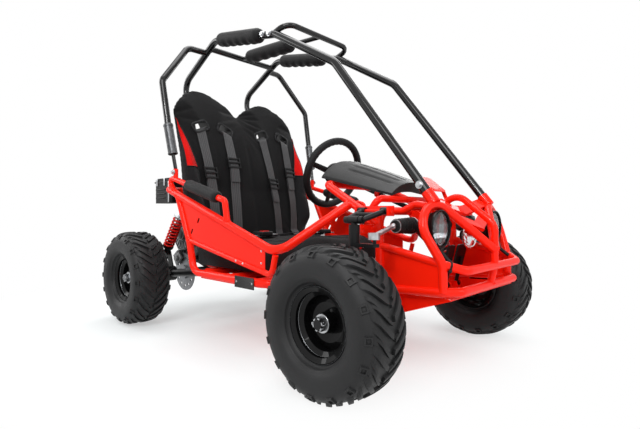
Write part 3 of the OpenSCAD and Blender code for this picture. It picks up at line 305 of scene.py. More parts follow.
def seen_ray(tree):
    """Socket that is 1 for what the camera sees, also in mirrors and through glass."""
    path = tree.nodes.new("ShaderNodeLightPath")
    seen = path.outputs["Is Camera Ray"]
    for ray in ("Is Glossy Ray", "Is Transmission Ray"):
        most = tree.nodes.new("ShaderNodeMath")
        most.operation = "MAXIMUM"
        tree.links.new(seen, most.inputs[0])
        tree.links.new(path.outputs[ray], most.inputs[1])
        seen = most.outputs[0]
    return seen


def studio():
    """Camera at the photograph's place, a pale floor that fades to white, and soft boxes."""
    scene = bpy.context.scene
    scene.view_settings.view_transform = "Standard"
    camera = bpy.data.cameras.new("camera")
    camera.sensor_width = SENSOR
    camera.lens = SENSOR * FOCAL / PHOTO_WIDTH
    camera.clip_end = 60
    scene.camera = put("camera", camera)
    scene.camera.location = EYE
    scene.camera.rotation_euler = (pi / 2, 0, HEADING)

    bm = bmesh.new()
    bmesh.ops.create_grid(bm, x_segments=8, y_segments=8, size=FLOOR_REACH)
    floor = put_shape("floor", bm)
    floor.data.materials.append(floor_finish())

    for name, place, aim, size, power in SOFT_BOXES:
        lamp = bpy.data.lights.new(name, "AREA")
        lamp.size = size
        lamp.energy = power
        box = put(name, lamp)
        box.location = place
        box.rotation_euler = (Vector(aim) - Vector(place)).to_track_quat("-Z", "Y").to_euler()

    world = bpy.data.worlds.new("studio")
    world.use_nodes = True
    scene.world = world
    tree = world.node_tree
    back = tree.nodes["Background"]
    back.inputs["Color"].default_value = WHITE
    level = tree.nodes.new("ShaderNodeMapRange")
    level.inputs["To Min"].default_value = 0.3
    level.inputs["To Max"].default_value = 1.0
    tree.links.new(seen_ray(tree), level.inputs["Value"])
    tree.links.new(level.outputs[0], back.inputs["Strength"])


def floor_finish():
    """Pale floor near the kart, with a painted cool tint against the red bounce light and a painted white glow
    that lightens the kart's shadow; far off it shows plain white to the camera, to mirrors and through glass.
    """
    s = Surface("studio_floor")
    flat = s.node("ShaderNodeVectorMath", {"operation": "MULTIPLY"}, {0: s.place, 1: (1.0, 1.0, 0.0)})
    far = s.node("ShaderNodeVectorMath", {"operation": "LENGTH"}, {0: flat}, "Value")
    behind = s.node("ShaderNodeVectorMath", {"operation": "DISTANCE"}, {0: flat, 1: WHITE_FROM}, "Value")
    # Painted light: near the kart the floor's colour turns cool, to cancel the red light that the frame bounces
    # onto it; further off it is neutral.
    out = s.node("ShaderNodeMapRange", None, {"Value": far, "From Min": 0.3, "From Max": 1.2})
    s.shade({"Base Color": s.mix(out, (0.8, 0.9, 0.905, 1.0), (0.88, 0.88, 0.885, 1.0)),
             "Roughness": 0.6 + 0.2 * s.noise(3), "Specular IOR Level": 0.2})
    # Painted light: even near the kart the camera sees the floor mixed almost half with white glow, which
    # lightens the kart's shadow; the glow is centred behind the kart, so the floor in front turns white sooner.
    fade = s.node("ShaderNodeMapRange", {"interpolation_type": "SMOOTHSTEP"}, {
        "Value": behind, "From Min": 0.8, "From Max": 1.35, "To Min": 0.45})
    white = s.node("ShaderNodeEmission", None, {"Color": WHITE, "Strength": 1.0})
    both = s.node("ShaderNodeMixShader", None, {
        0: fade * Value(s, seen_ray(s.tree)), 1: Value(s, s.shader.outputs[0]), 2: white})
    s.tree.links.new(both.socket, s.tree.nodes["Material Output"].inputs["Surface"])
    return s.material


studio()


# Shapes, in millimetres

def shift(x, y, z):
    """A move along X, Y and Z."""
    return Matrix.Translation((x, y, z))


def turn(angle, axis="Z"):
    """A turn about an axis by an angle in radians."""
    return Matrix.Rotation(angle, 4, axis)


def at(point, way=None):
    """Place of a shape drawn about its own Z axis, which then points along the given way."""
    turned_to = Vector((0, 0, 1)).rotation_difference(Vector(way)).to_matrix().to_4x4() if way else Matrix()
    return Matrix.Translation(Vector(point)) @ turned_to


def round_about(count, middle, reach, first=0.0):
    """Even places round the Z axis of a middle place, each at a reach (x, y, z) from it."""
    return [middle @ turn(FULL_TURN * k / count + first) @ shift(*reach) for k in range(count)]


def circle(x, y, radius, count):
    """Points of a flat circle."""
    angles = [FULL_TURN * k / count for k in range(count)]
    return [(x + radius * cos(q), y + radius * sin(q)) for q in angles]


def set_down(part, place):
    """Moves a shape to its place."""
    bmesh.ops.transform(part, matrix=place, verts=part.verts)
    return part


def outward(bm):
    """Makes the faces of a shape look outward."""
    bmesh.ops.recalc_face_normals(bm, faces=bm.faces)
    return bm


def rounded(bm, geom, offset, segments=2, affect="EDGES"):
    """Rounds some edges or corners of a shape."""
    bmesh.ops.bevel(bm, geom=geom, offset=offset, offset_type="OFFSET", segments=segments, profile=0.5,
                    affect=affect, material=-1)
    return bm


def doubled(bm):
    """Extrudes the whole of a flat shape in place and gives the corners of its new layer."""
    grown = bmesh.ops.extrude_face_region(bm, geom=bm.faces[:])["geom"]
    return [v for v in grown if isinstance(v, bmesh.types.BMVert)]


def grid(columns, rows):
    """A flat square from -1 to 1 in X and Y, cut into cells."""
    bm = bmesh.new()
    bmesh.ops.create_grid(bm, x_segments=columns, y_segments=rows, size=1.0)
    return bm


def in_metres(bm):
    """Brings a shape from millimetres to metres."""
    bmesh.ops.scale(bm, vec=(0.001, 0.001, 0.001), verts=bm.verts)
    return bm


def gather(*parts):
    """One shape from several."""
    whole = bmesh.new()
    carrier = bpy.data.meshes.new("carrier")
    for part in parts:
        part.to_mesh(carrier)
        whole.from_mesh(carrier)
        part.free()
    bpy.data.meshes.remove(carrier)
    return whole


def copies(make, places):
    """One shape from a new copy of a part at each place."""
    return gather(*[set_down(make(), place) for place in places])


def across(part):
    """The same shape on the other side of the kart."""
    other = part.copy()
    bmesh.ops.scale(other, vec=(1, -1, 1), verts=other.verts)
    bmesh.ops.reverse_faces(other, faces=other.faces)
    return other


def turned(profile, steps=48, closed=False, angle=FULL_TURN):
    """A profile of (radius, height) turned about Z."""
    bm = bmesh.new()
    verts = [bm.verts.new((r, 0, h)) for r, h in profile]
    edges = [bm.edges.new(pair) for pair in zip(verts, verts[1:])]
    if closed:
        edges.append(bm.edges.new((verts[-1], verts[0])))
    bmesh.ops.spin(bm, geom=verts + edges, cent=(0, 0, 0), axis=(0, 0, 1), dvec=(0, 0, 0), angle=angle,
                   steps=steps, use_merge=angle == FULL_TURN)
    bmesh.ops.remove_doubles(bm, verts=bm.verts, dist=0.01)
    bmesh.ops.dissolve_degenerate(bm, dist=0.005, edges=bm.edges)
    return outward(bm)


def block(size, soften=1.0, segments=2):
    """A block about the origin with its edges rounded."""
    bm = bmesh.new()
    bmesh.ops.create_cube(bm, size=1.0)
    bmesh.ops.scale(bm, vec=size, verts=bm.verts)
    return rounded(bm, bm.edges, soften, segments) if soften else bm


def prism(sides, radius, height, soften=0.0):
    """An upright prism standing on the origin."""
    bm = bmesh.new()
    bmesh.ops.create_cone(bm, cap_ends=True, segments=sides, radius1=radius, radius2=radius, depth=height)
    bmesh.ops.translate(bm, vec=(0, 0, height / 2), verts=bm.verts)
    rim = [e for e in bm.edges if all(v.co.z > height * 0.9 for v in e.verts)]
    return rounded(bm, rim, soften) if soften else bm


def pipe(points, radius, sides=12):
    """A round bar along a smooth path."""
    curve = bpy.data.curves.new("path", "CURVE")
    curve.dimensions = "3D"
    curve.bevel_depth = radius
    curve.bevel_resolution = max(0, sides // 4 - 1)
    curve.use_fill_caps = True
    spline = curve.splines.new("POLY")
    spline.points.add(len(points) - 1)
    for knot, point in zip(spline.points, points):
        knot.co = (*point, 1.0)
    carrier = bpy.data.objects.new("path", curve)
    mesh = bpy.data.meshes.new_from_object(carrier)
    bm = bmesh.new()
    bm.from_mesh(mesh)
    bpy.data.objects.remove(carrier)
    bpy.data.curves.remove(curve)
    bpy.data.meshes.remove(mesh)
    return bm


def blocks(size, soften, places):
    """One shape from a block at each place."""
    return copies(lambda: block(size, soften), places)


def smooth_path(points, steps=8):
    """Points on a curve that passes through the given ones."""
    knots = [Vector(p) for p in points]
    knots = [2 * knots[0] - knots[1], *knots, 2 * knots[-1] - knots[-2]]
    path = []
    for a, b, c, d in zip(knots, knots[1:], knots[2:], knots[3:]):
        for k in range(steps):
            t = k / steps
            path.append(0.5 * (2 * b + (c - a) * t + (2 * a - 5 * b + 4 * c - d) * t * t
                               + (3 * b - a - 3 * c + d) * t ** 3))
    return path + [knots[-2]]


def piece(name, bm, finish, body, stands_for=(), crease=32):
    """Makes the finished object: metres, smooth shading with sharp creases, its body and its slot."""
    bmesh.ops.remove_doubles(bm, verts=bm.verts, dist=0.01)
    in_metres(bm)
    limit = radians(crease)
    for face in bm.faces:
        face.smooth = True
    for edge in bm.edges:
        edge.smooth = edge.calc_face_angle(pi) < limit
    made = put_shape(name, bm)
    made.data.materials.append(finish)
    return dress(made, body, stands_for)


def dress(made, body, stands_for=()):
    """Tells which body an object rides on and the nodes it replaces."""
    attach(made, body)
    if stands_for:
        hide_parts(*stands_for)
    return made


def uv_map(bm, name, where):
    """Gives every corner of a shape its place on the flat pattern."""
    layer = bm.loops.layers.uv.new(name)
    for face in bm.faces:
        for loop in face.loops:
            loop[layer].uv = where(loop.vert)


# Tyres

TYRE_R = 177.5
LUG = 7.0
LOW_LUG = 5.8
HALF_W = 69.0
CROWN = 41.25
MID = 129.25
FRONT_X = 489.5
REAR_X = -542.5
HUB_Y = 391.0
PITCHES = 16


def carcass(angle, raised=0.0):
    """Point of the tyre's section: 0 degrees at the wall's widest place, 90 at the crown."""
    c, s = cos(radians(angle)), sin(radians(angle))
    r = MID + (CROWN + raised) * (abs(s) ** 0.75) * (1 if s > 0 else -1)
    return r, (HALF_W + min(raised, 0.0)) * abs(c) ** 0.55 * (1 if c > 0 else -1)


def tread_radius(h):
    """Radius of the bare carcass at a distance from the tyre's middle plane."""
    c = min(1.0, abs(h) / HALF_W) ** (1 / 0.55)
    return MID + CROWN * (1 - c * c) ** 0.375


def wall_step(angle):
    """Rim guard by the bead and three fine ridges on the wall, the same on both sides."""
    a = angle if angle <= 90 else 180 - angle
    if -52 < a < -42:
        return 1.6
    return 0.8 if any(abs(a - ridge) < 1.1 for ridge in (-30, -24, 6)) else 0.0


def tread_bar(side, start, length, sweep, half, lift, near=4.0):
    """One tread bar: a strip laid on the carcass from near the crown to the shoulder and raised from it."""
    bm = grid(9, 2)
    top = set(doubled(bm))
    for v in bm.verts:
        u = (v.co.x + 1) / 2
        h = near + (length - near) * u
        narrow = 0.8 if v in top else 1.0
        q = start + sweep * u ** 1.25 + v.co.y * half * (0.8 + 0.5 * u) * narrow
        fade = 1 - max(0.0, u - 0.86) / 0.14
        r = tread_radius(h) + (lift * fade if v in top else -3.0)
        r = min(r, TYRE_R - 0.15)
        v.co = (r * cos(radians(q)), r * sin(radians(q)), side * h)
    return outward(bm)


def shoulder_block():
    """Square shoulder block with a square recess in it, standing on the origin."""
    bm = bmesh.new()
    bmesh.ops.create_cube(bm, size=1.0)
    bmesh.ops.scale(bm, vec=(19, 20, 9), verts=bm.verts)
    top = max(bm.faces, key=lambda f: f.calc_center_median().z)
    bmesh.ops.scale(bm, vec=(0.84, 0.84, 1), verts=top.verts)
    bmesh.ops.inset_region(bm, faces=[top], thickness=4.2, depth=0.0)
    dip = bmesh.ops.extrude_discrete_faces(bm, faces=[top])["faces"]
    bmesh.ops.translate(bm, vec=(0, 0, -4.0), verts=dip[0].verts)
    bmesh.ops.scale(bm, vec=(0.85, 0.85, 1), space=Matrix(), verts=dip[0].verts)
    return bm


def tyre():
    """Tyre about Z, outboard side up."""
    angles = [-58 + 2 * k for k in range(149)]
    wall = [carcass(a, wall_step(a)) for a in angles]
    outside = [(76.3, 39.5), (87, 42.8), *wall, (87, -42.8), (76.3, -39.5)]
    inside = [(76.3, -30)] + [carcass(a, -8) for a in angles[::-12]] + [(76.3, 30)]
    parts = [turned(outside + inside, 96, closed=True)]
    step = 360 / PITCHES
    for side in (1, -1):
        for k in range(PITCHES):
            q = k * step + (0 if side > 0 else step / 2)
            parts.append(tread_bar(side, q, 56, 17, 3.0, LUG))
            parts.append(tread_bar(side, q + 8.2, 47, 15, 1.7, LOW_LUG))
            parts.append(tread_bar(side, q + 13.6, 55, 16, 1.5, LOW_LUG, near=14))
            r, h = carcass(36)
            way = Vector((0.652, 0, 0.758 * side))
            sunk = Vector((r, 0, side * h)) - way * 1.3
            spot = turn(radians(q + 22)) @ at(sunk, way)
            parts.append(set_down(shoulder_block(), spot))
    bm = gather(*parts)
    uv_map(bm, "round", lambda v: (atan2(v.co.y, v.co.x), Vector(v.co.xy).length / 100))
    return bm


def wheel_place(x, side):
    """Sets a shape drawn about Z, outboard side up, on its wheel."""
    return shift(x, side * HUB_Y, TYRE_R) @ turn(-side * pi / 2, "X")


def castle_nut():
    """Slotted crown, split pin and washer on the hexagon nut at the end of an axle."""
    teeth = blocks((5.5, 6.2, 6.4), 0.6, round_about(6, Matrix(), (12.4, 0, 39.4), 0.3))
    pin = pipe([(-15, 0, 40), (14, 0, 40), (17, 1, 38), (17.5, 2, 33)], 1.2, 8)
    loop = set_down(turned(circle(2.6, 0, 1.2, 8), 12, closed=True), at((-17, 0, 40)))
    washer = turned([(12.2, 27.1), (21, 27.1), (21.6, 27.6), (21.6, 28.4), (21, 28.9), (12.2, 28.9)], 40,
                    closed=True)
    return gather(teeth, pin, loop, washer)


def valve_stem():
    """Rubber snap-in valve with its cap, on the rim's disc."""
    return turned([(0, -4), (7, -4), (7.4, 0), (5.2, 3), (3.6, 8), (3.2, 20), (4.2, 20.5), (4.2, 29),
                   (3.4, 30.5), (0, 30.8)], 16)


def dress_wheels():
    """Tyre, axle nut, valve and bright rim edge of every wheel."""
    for corner, x, side, body, hub, nodes in (
        ("front_right", FRONT_X, -1, "front_wheel_right", "knuckle_right", ["front_tyre_right"]),
        ("front_left", FRONT_X, 1, "front_wheel_left", "knuckle_left", ["front_tyre_left"]),
        ("rear_right", REAR_X, -1, "rear_axle", "rear_axle", ["rear_tyres"]),
        ("rear_left", REAR_X, 1, "rear_axle", "rear_axle", ["rear_tyres"]),
    ):
        place = wheel_place(x, side)
        piece("tyre_" + corner, set_down(tyre(), place), TYRE, body, nodes, crease=38)
        piece("hub_nut_" + corner, set_down(castle_nut(), place), ZINC, hub)
        stem = set_down(valve_stem(), at((37, 37, 7)))
        piece("valve_" + corner, set_down(stem, place), BELLOWS, body)
        lip = turned([(86.2, 44.4), (86.7, 45.2), (86.2, 46.0), (84.6, 46.0), (84.2, 45.4)], 96, closed=True)
        step = turned([(72.6, 30.4), (73.0, 31.0), (72.6, 31.6)], 96)
        piece("rim_edge_" + corner, set_down(gather(lip, step), place), STEEL, body)


dress_wheels()


# Springs

def spring(name, body, node, top, low, start, end, coil_r, wire, coils):
    """Coil spring wound with a spin that climbs."""
    bm = bmesh.new()
    bmesh.ops.create_circle(bm, segments=12, radius=wire / 2, cap_ends=False)
    bmesh.ops.rotate(bm, matrix=Matrix.Rotation(pi / 2, 3, "X"), verts=bm.verts)
    bmesh.ops.translate(bm, vec=(coil_r, 0, start + wire * 0.55), verts=bm.verts)
    rise = end - start - wire * 1.1
    turns = ((0.75, 0.08), (coils - 1.5, 0.84), (0.75, 0.08))
    ring = bm.edges[:]
    for turn_share, rise_share in turns:
        steps = round(turn_share * 28)
        climb = (0, 0, rise * rise_share / steps)
        made = bmesh.ops.spin(bm, geom=ring, cent=(0, 0, 0), axis=(0, 0, 1), dvec=climb,
                              angle=FULL_TURN * turn_share, steps=steps, use_merge=False)
        ring = [g for g in made["geom_last"] if isinstance(g, bmesh.types.BMEdge)]
    bmesh.ops.holes_fill(bm, edges=bm.edges, sides=0)
    outward(bm)
    line = Vector(low) - Vector(top)
    set_down(bm, at(top, line))
    made = piece(name, bm, SPRING_RED, body, [node])
    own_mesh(made)


for label, side in SIDES.items():
    spring("front_coil_" + label, "chassis", "front_spring_" + label,
           top=(451.5, side * 240, 388), low=(451.5, side * 280, 178), start=49.3, end=177.5, coil_r=16,
           wire=6, coils=7)
    spring("rear_coil_" + label, "rear_damper_rods", "rear_springs",
           top=(-427, side * 250, 453), low=(-572.5, side * 250, 263.5), start=49.3, end=202.6, coil_r=18,
           wire=8.4, coils=9)


# Seat covers

SEATS = (-153.0, 153.0)
SLOT_Z = 769.0
SLOT_Y = 58.0
SLOT_TILT = radians(24)
WING = 50.0
WING_EDGE = 301.0
UPRIGHT = 0.16
SEAM_Y, SEAM_Z = 246, 595
SEAM_ABOVE = (55, 200)
SEAM_BELOW = (14, 265)
INSERT_LOW, INSERT_TOP = 602, 800
CUSHION_SEAM = 262
ROLL_SEAM = 62
SHRINK = 0.004  # metres, as the cell below
CELL = 0.0072


def side_seam(z):
    """Half width of the backrest's front panel at a height, between its two side seams."""
    out, up = SEAM_ABOVE if z > SEAM_Z else SEAM_BELOW
    return SEAM_Y + (z - SEAM_Z) * out / up


def back_held(co):
    """The backrest's middle valley and its side seams don't swell."""
    y, z = abs(co.y) * 1000, co.z * 1000
    seam = min(abs(y - side_seam(z)), y * 1.2)
    return 1.0 if seam < 5 else 0.0


def base_held(co):
    """The cushion's underside, its middle valley, its side seams and its front roll's seam don't swell."""
    x, y, z = co.x * 1000, abs(co.y) * 1000, co.z * 1000
    return 1.0 if z < 250 or y < 4.5 or abs(y - CUSHION_SEAM) < 4.5 or abs(x - ROLL_SEAM) < 4 else 0.0


def ramp(value, start, end):
    """Smooth step from 0 to 1."""
    t = min(1.0, max(0.0, (value - start) / (end - start)))
    return t * t * (3 - 2 * t)


def rear_board(z):
    """Rear face of the backrest's solid at a height."""
    up = z - 350
    return -328 - 0.11 * up - 0.00045 * up * up


def back_form(co):
    """The backrest as it is stuffed: a more upright crown, and wings that stand forward at its sides."""
    x, y, z = co * 1000
    front = min(1.0, max(0.0, (x - rear_board(z)) / 45))
    tall = ramp(z, 345, 430) * (1 - ramp(z, 640, 790))
    x += WING * ramp(abs(y), side_seam(z) - 8, 306) * tall * front + max(0.0, z - 520) * UPRIGHT
    z += (20 * ramp(abs(y), 200, 300) - 12 * (1 - ramp(abs(y), 0, 45))) * ramp(z, 700, 850)
    return Vector((x, y, z)) / 1000


def stuffed(name, node, held, cap, cuts, form=None):
    """Padded cover: the solid remeshed, blown up as cloth, held in along its seams and cut along them."""
    bm = bmesh.new()
    bm.from_mesh(NODES[node].data)
    bmesh.ops.remove_doubles(bm, verts=bm.verts, dist=1e-5)
    bm.normal_update()
    for v in bm.verts:
        v.co -= v.normal * SHRINK
    made = put_shape(name, bm)
    remesh = made.modifiers.new("remesh", "REMESH")
    remesh.mode = "VOXEL"
    remesh.voxel_size = CELL
    made.data = settled(made)
    made.modifiers.clear()
    if form:
        for v in made.data.vertices:
            v.co = form(v.co)
    blow_up(made, held, cap)
    bm = bmesh.new()
    bm.from_mesh(made.data)
    bmesh.ops.smooth_vert(bm, verts=bm.verts, factor=0.5, use_axis_x=True, use_axis_y=True, use_axis_z=True)
    for point, normal in cuts:
        bmesh.ops.bisect_plane(bm, geom=bm.verts[:] + bm.edges[:] + bm.faces[:], dist=1e-5,
                               plane_co=Vector(point) / 1000, plane_no=normal)
    for face in bm.faces:
        face.smooth = True
    bm.to_mesh(made.data)
    bm.free()
    return made


def settled(made):
    """The mesh of an object with its modifiers applied."""
    bpy.context.view_layer.update()
    graph = bpy.context.evaluated_depsgraph_get()
    return bpy.data.meshes.new_from_object(made.evaluated_get(graph))


def blow_up(made, held, cap):
    """Cloth under pressure for twenty frames; no point moves further than the cap."""
    rest = [v.co.copy() for v in made.data.vertices]
    sewn = made.vertex_groups.new(name="sewn")
    for v in made.data.vertices:
        sewn.add([v.index], held(v.co), "REPLACE")
    cloth = made.modifiers.new("cloth", "CLOTH")
    cloth.settings.quality = 4
    cloth.settings.use_pressure = True
    cloth.settings.uniform_pressure_force = 4.0
    cloth.settings.vertex_group_mass = "sewn"
    cloth.settings.effector_weights.gravity = 0.0
    scene = bpy.context.scene
    for number in range(1, 21):
        scene.frame_set(number)
    blown = settled(made)
    made.modifiers.clear()
    for v, start, swollen in zip(made.data.vertices, rest, blown.vertices):
        move = swollen.co - start
        v.co = start + move * min(1.0, cap / max(move.length, 1e-9))
    bpy.data.meshes.remove(blown)
    made.vertex_groups.clear()
    scene.frame_set(1)


def finish_cover(made, finishes, choose, body, node):
    """Gives a cover its cloths by panel, one round of smoothing, its body and its slot."""
    for finish in finishes:
        made.data.materials.append(finish)
    for face in made.data.polygons:
        face.material_index = choose(face.center * 1000, face.normal)
    round_off = made.modifiers.new("round_off", "SUBSURF")
    round_off.levels = round_off.render_levels = 1
    return dress(made, body, [node])


def surface_of(made):
    """The surface of an object, on which places are found by looking along a line."""
    mesh = settled(made)
    bm = bmesh.new()
    bm.from_mesh(mesh)
    tree = BVHTree.FromBMesh(bm)
    bm.free()
    bpy.data.meshes.remove(mesh)
    return tree


def back_front(y, z):
    """Front face of the backrest's cover."""
    hit = BACK.ray_cast(Vector((0.3, y / 1000, z / 1000)), Vector((-1, 0, 0)))[0]
    return hit.x * 1000 if hit else None


def back_rear(y, z):
    """Rear face of the backrest's cover."""
    hit = BACK.ray_cast(Vector((-1.0, y / 1000, z / 1000)), Vector((1, 0, 0)))[0]
    return hit.x * 1000


SLOT_AXES = Matrix(((0, 0, 1, 0), (1, 0, 0, 0), (0, 1, 0, 0), (0, 0, 0, 1)))


def slot_place(seat, s):
    """Middle of a belt slot in the backrest's thickness: X across the slot, Z to the front."""
    y = seat + s * SLOT_Y
    middle = (back_front(y, SLOT_Z) + back_rear(y, SLOT_Z)) / 2
    return shift(middle, y, SLOT_Z) @ SLOT_AXES @ turn(-s * SLOT_TILT)


def round_plate(wide, tall, corner):
    """A flat face with round corners."""
    bm = grid(1, 1)
    bmesh.ops.scale(bm, vec=(wide / 2, tall / 2, 1), verts=bm.verts)
    return rounded(bm, bm.verts, corner, 5, "VERTICES")


def slot_core(wide, tall, length, flare):
    """Bar with round corners along Z, wider at its rear end."""
    bm = round_plate(wide, tall, tall * 0.36)
    rear = doubled(bm)
    bmesh.ops.translate(bm, vec=(0, 0, -length), verts=rear)
    bmesh.ops.scale(bm, vec=(flare, flare, 1), verts=rear)
    bmesh.ops.translate(bm, vec=(0, 0, length / 2), verts=bm.verts)
    return outward(bm)


def cut_slots(made):
    """Cuts the four belt slots through the backrest."""
    places = [slot_place(seat, s) for seat in SEATS for s in (-1, 1)]
    tool = put_shape("slot_cores", in_metres(copies(lambda: slot_core(64, 34, 150, 1.25), places)))
    cut = made.modifiers.new("slots", "BOOLEAN")
    cut.operation = "DIFFERENCE"
    cut.object = tool
    made.data = settled(made)
    made.modifiers.clear()
    mesh = tool.data
    bpy.data.objects.remove(tool)
    bpy.data.meshes.remove(mesh)


def back_panel(c, normal):
    """Front panel, side panel or the red insert on the inner face of a wing."""
    if abs(c.y) < side_seam(c.z):
        return 0
    return 2 if INSERT_LOW < c.z < INSERT_TOP and abs(c.y) < WING_EDGE and normal.x > 0 else 1


BACK_CUTS = [
    *[((0, s * SEAM_Y, SEAM_Z), (0, s * up, -out)) for out, up in (SEAM_ABOVE, SEAM_BELOW) for s in (-1, 1)],
    ((0, 0, INSERT_LOW), (0, 0, 1)),
    *[((0, s * WING_EDGE, 0), (0, 1, 0)) for s in (-1, 1)],
]
BASE_CUTS = [((0, s * CUSHION_SEAM, 0), (0, 1, 0)) for s in (-1, 1)]
seat_back = stuffed("backrest", "seat_back", back_held, 0.011, BACK_CUTS, back_form)
BACK = surface_of(seat_back)
cut_slots(seat_back)
finish_cover(seat_back, [COVER, COVER_SIDE, COVER_RED], back_panel, "chassis", "seat_back")
seat_base = stuffed("cushion", "seat_base", base_held, 0.012, BASE_CUTS)
finish_cover(seat_base, [COVER, COVER_SIDE], lambda c, normal: 0 if abs(c.y) < CUSHION_SEAM else 1, "chassis",
             "seat_base")
BASE = surface_of(seat_base)


def cushion_top(x, y):
    """Top face of the cushion's cover; beside it, the height of the cushion's edge."""
    hit = BASE.ray_cast(Vector((x / 1000, y / 1000, 0.8)), Vector((0, 0, -1)))[0]
    return hit.z * 1000 if hit else 318.0


def seat_piping():
    """Corded seams down both sides of the backrest, round the red inserts and along the cushion."""
    cords = []
    inner = side_seam(INSERT_LOW)
    for s in (-1, 1):
        heights = [345 + 14.2 * k for k in range(31)]
        seam = [(s * side_seam(z), z) for z in heights]
        across_seam = [(s * (inner + (WING_EDGE - inner) * k / 6), INSERT_LOW) for k in range(7)]
        edge = [(s * WING_EDGE, z) for z in range(352, 800, 14)]
        for line in (seam, across_seam, edge):
            found = [(back_front(y, z), y, z) for y, z in line]
            cords.append([(x + 0.8, y, z) for x, y, z in found if x is not None])
        y = s * CUSHION_SEAM
        cords.append([(x, y, cushion_top(x, y) + 0.6) for x in range(-236, 100, 12)])
    cords.append([(ROLL_SEAM, y, cushion_top(ROLL_SEAM, y) + 0.4) for y in range(-288, 289, 12)])
    return gather(*[pipe(smooth_path(cord, 3), 2.0, 8) for cord in cords])


piece("seat_seams", seat_piping(), PIPING, "chassis")


# Harness

BELT_W = 40.0
BELT_THICK = 2.2
BUCKLE_X = -50
CROSS_X, CROSS_Z, CROSS_R = -405.0, 514.0, 15
STRAP_GAP = 4.5
SLIDE_STEPS = {(-153.0, -1): 18, (-153.0, 1): 13, (153.0, -1): 21, (153.0, 1): 15}


def ribbon(path):
    """Flat webbing along a path of (left edge, right edge) points."""
    count = len(path) - 1
    run = [0.0]
    for (a, b), (c, d) in zip(path, path[1:]):
        run.append(run[-1] + ((c + d) / 2 - (a + b) / 2).length)

    def step(v):
        return round((v.co.x + 1) / 2 * count)

    bm = grid(count, 4)
    uv_map(bm, "weave", lambda v: ((v.co.y + 1) / 2, run[step(v)] / BELT_W))
    for v in bm.verts:
        left, right = path[step(v)]
        v.co = left.lerp(right, (v.co.y + 1) / 2)
    bmesh.ops.solidify(bm, geom=bm.faces[:], thickness=BELT_THICK)
    return outward(bm)


def lie(at_left, at_middle, at_right):
    """Lifts a strap's two edges until its middle clears the cover."""
    lift = max(0.0, at_middle - (at_left + at_right) / 2)
    return at_left + lift, at_right + lift


def shoulder_path(seat, s):
    """Edges of a shoulder strap: out of its slot, down the backrest and over the cushion to the buckle."""
    half = BELT_W / 2
    base_y = seat + s * SLOT_Y + (7 if s > 0 else -2)
    tilt = s * sin(SLOT_TILT) * half

    def level(x, z, share=0.0):
        return Vector((x, base_y - half, z + tilt * share)), Vector((x, base_y + half, z - tilt * share))

    behind, before = back_rear(base_y, SLOT_Z), back_front(base_y, SLOT_Z)
    angles = [radians(a) for a in range(-20, -190, -17)]
    path = [level(CROSS_X + CROSS_R * cos(q), CROSS_Z + CROSS_R * sin(q)) for q in angles]
    rise_x, rise_z = behind + 10 - CROSS_X, SLOT_Z - 26 - CROSS_Z
    path += [level(CROSS_X - CROSS_R + rise_x * k / 14, CROSS_Z + rise_z * k / 14, k / 14)
             for k in range(1, 15)]
    path += [level(behind - 1, SLOT_Z - 13, 1), level(behind + 10, SLOT_Z - 8, 1)]
    path += [level(behind + (before - behind) * k / 5, SLOT_Z - 7.5, 1) for k in range(2, 5)]
    path += [level(before - 2, SLOT_Z - 8, 1)]
    fitted = len(path)
    for k in range(1, 48):
        z = SLOT_Z - 9 - 9.4 * k
        if z < 352:
            break
        t = k / 47
        y = base_y - s * 18 * t
        twist = tilt * max(0.0, 1 - k / 7)
        left, right = lie(back_front(y - half, z + twist), back_front(y, z), back_front(y + half, z - twist))
        slack = STRAP_GAP + 7 * sin(pi * min(1.0, t * 1.02)) + 2.2 * sin(9 * t + seat)
        path.append((Vector((left + slack, y - half, z + twist)),
                     Vector((right + slack, y + half, z - twist))))
    end = (path[-1][0].x + path[-1][1].x) / 2
    y = (path[-1][0].y + path[-1][1].y) / 2
    for k in range(1, 15):
        x = end + (-64 - end) * k / 14
        over = y - s * 8 * k / 14
        rise = 26 * (1 - k / 14) ** 3
        left, right = lie(cushion_top(x, over - half), cushion_top(x, over), cushion_top(x, over + half))
        path.append((Vector((x, over - half, left + STRAP_GAP + rise)),
                     Vector((x, over + half, right + STRAP_GAP + rise))))
    return path, fitted


def lap_path(seat, s):
    """Edges of a lap strap: from the crease by the cushion's side in to the buckle."""
    path = []
    for k in range(25):
        t = k / 24
        x, y = -240 + 196 * t, seat + s * (126 - 84 * t)
        way = Vector((196, -84 * s, 0)).normalized()
        side = Vector((-way.y, way.x, 0)) * BELT_W / 2
        left, right = lie(cushion_top(x + side.x, y + side.y), cushion_top(x, y),
                          cushion_top(x - side.x, y - side.y))
        lift = 7 + 5 * t + 4 * sin(pi * t)
        path.append((Vector((x, y, 0)) + side + Vector((0, 0, left + lift)),
                     Vector((x, y, 0)) - side + Vector((0, 0, right + lift))))
    return path


def on_path(path, k, lift=0.0):
    """Frame of a fitting on a strap: X along it, Y across it, Z off it."""
    along = ((path[k + 1][0] + path[k + 1][1]) - (path[k - 1][0] + path[k - 1][1])).normalized()
    over = (path[k][1] - path[k][0]).normalized()
    off = along.cross(over).normalized()
    if off.x + off.z < 0:
        off = -off
        over = -over
    middle = (path[k][0] + path[k][1]) / 2 + off * lift
    return Matrix.Translation(middle) @ Matrix((along, over, off)).transposed().to_4x4()


def adjuster():
    """Three-bar slide: two rails and three cross bars, the middle one raised under the doubled strap."""
    rails = blocks((46, 5, 8), 1.4, [shift(0, s * 26, 3.0) for s in (-1, 1)])
    bars = blocks((8, 54, 5), 1.6, [shift(-19, 0, 2.5), shift(0, 0, 7.4), shift(19, 0, 3.5)])
    return gather(rails, bars)


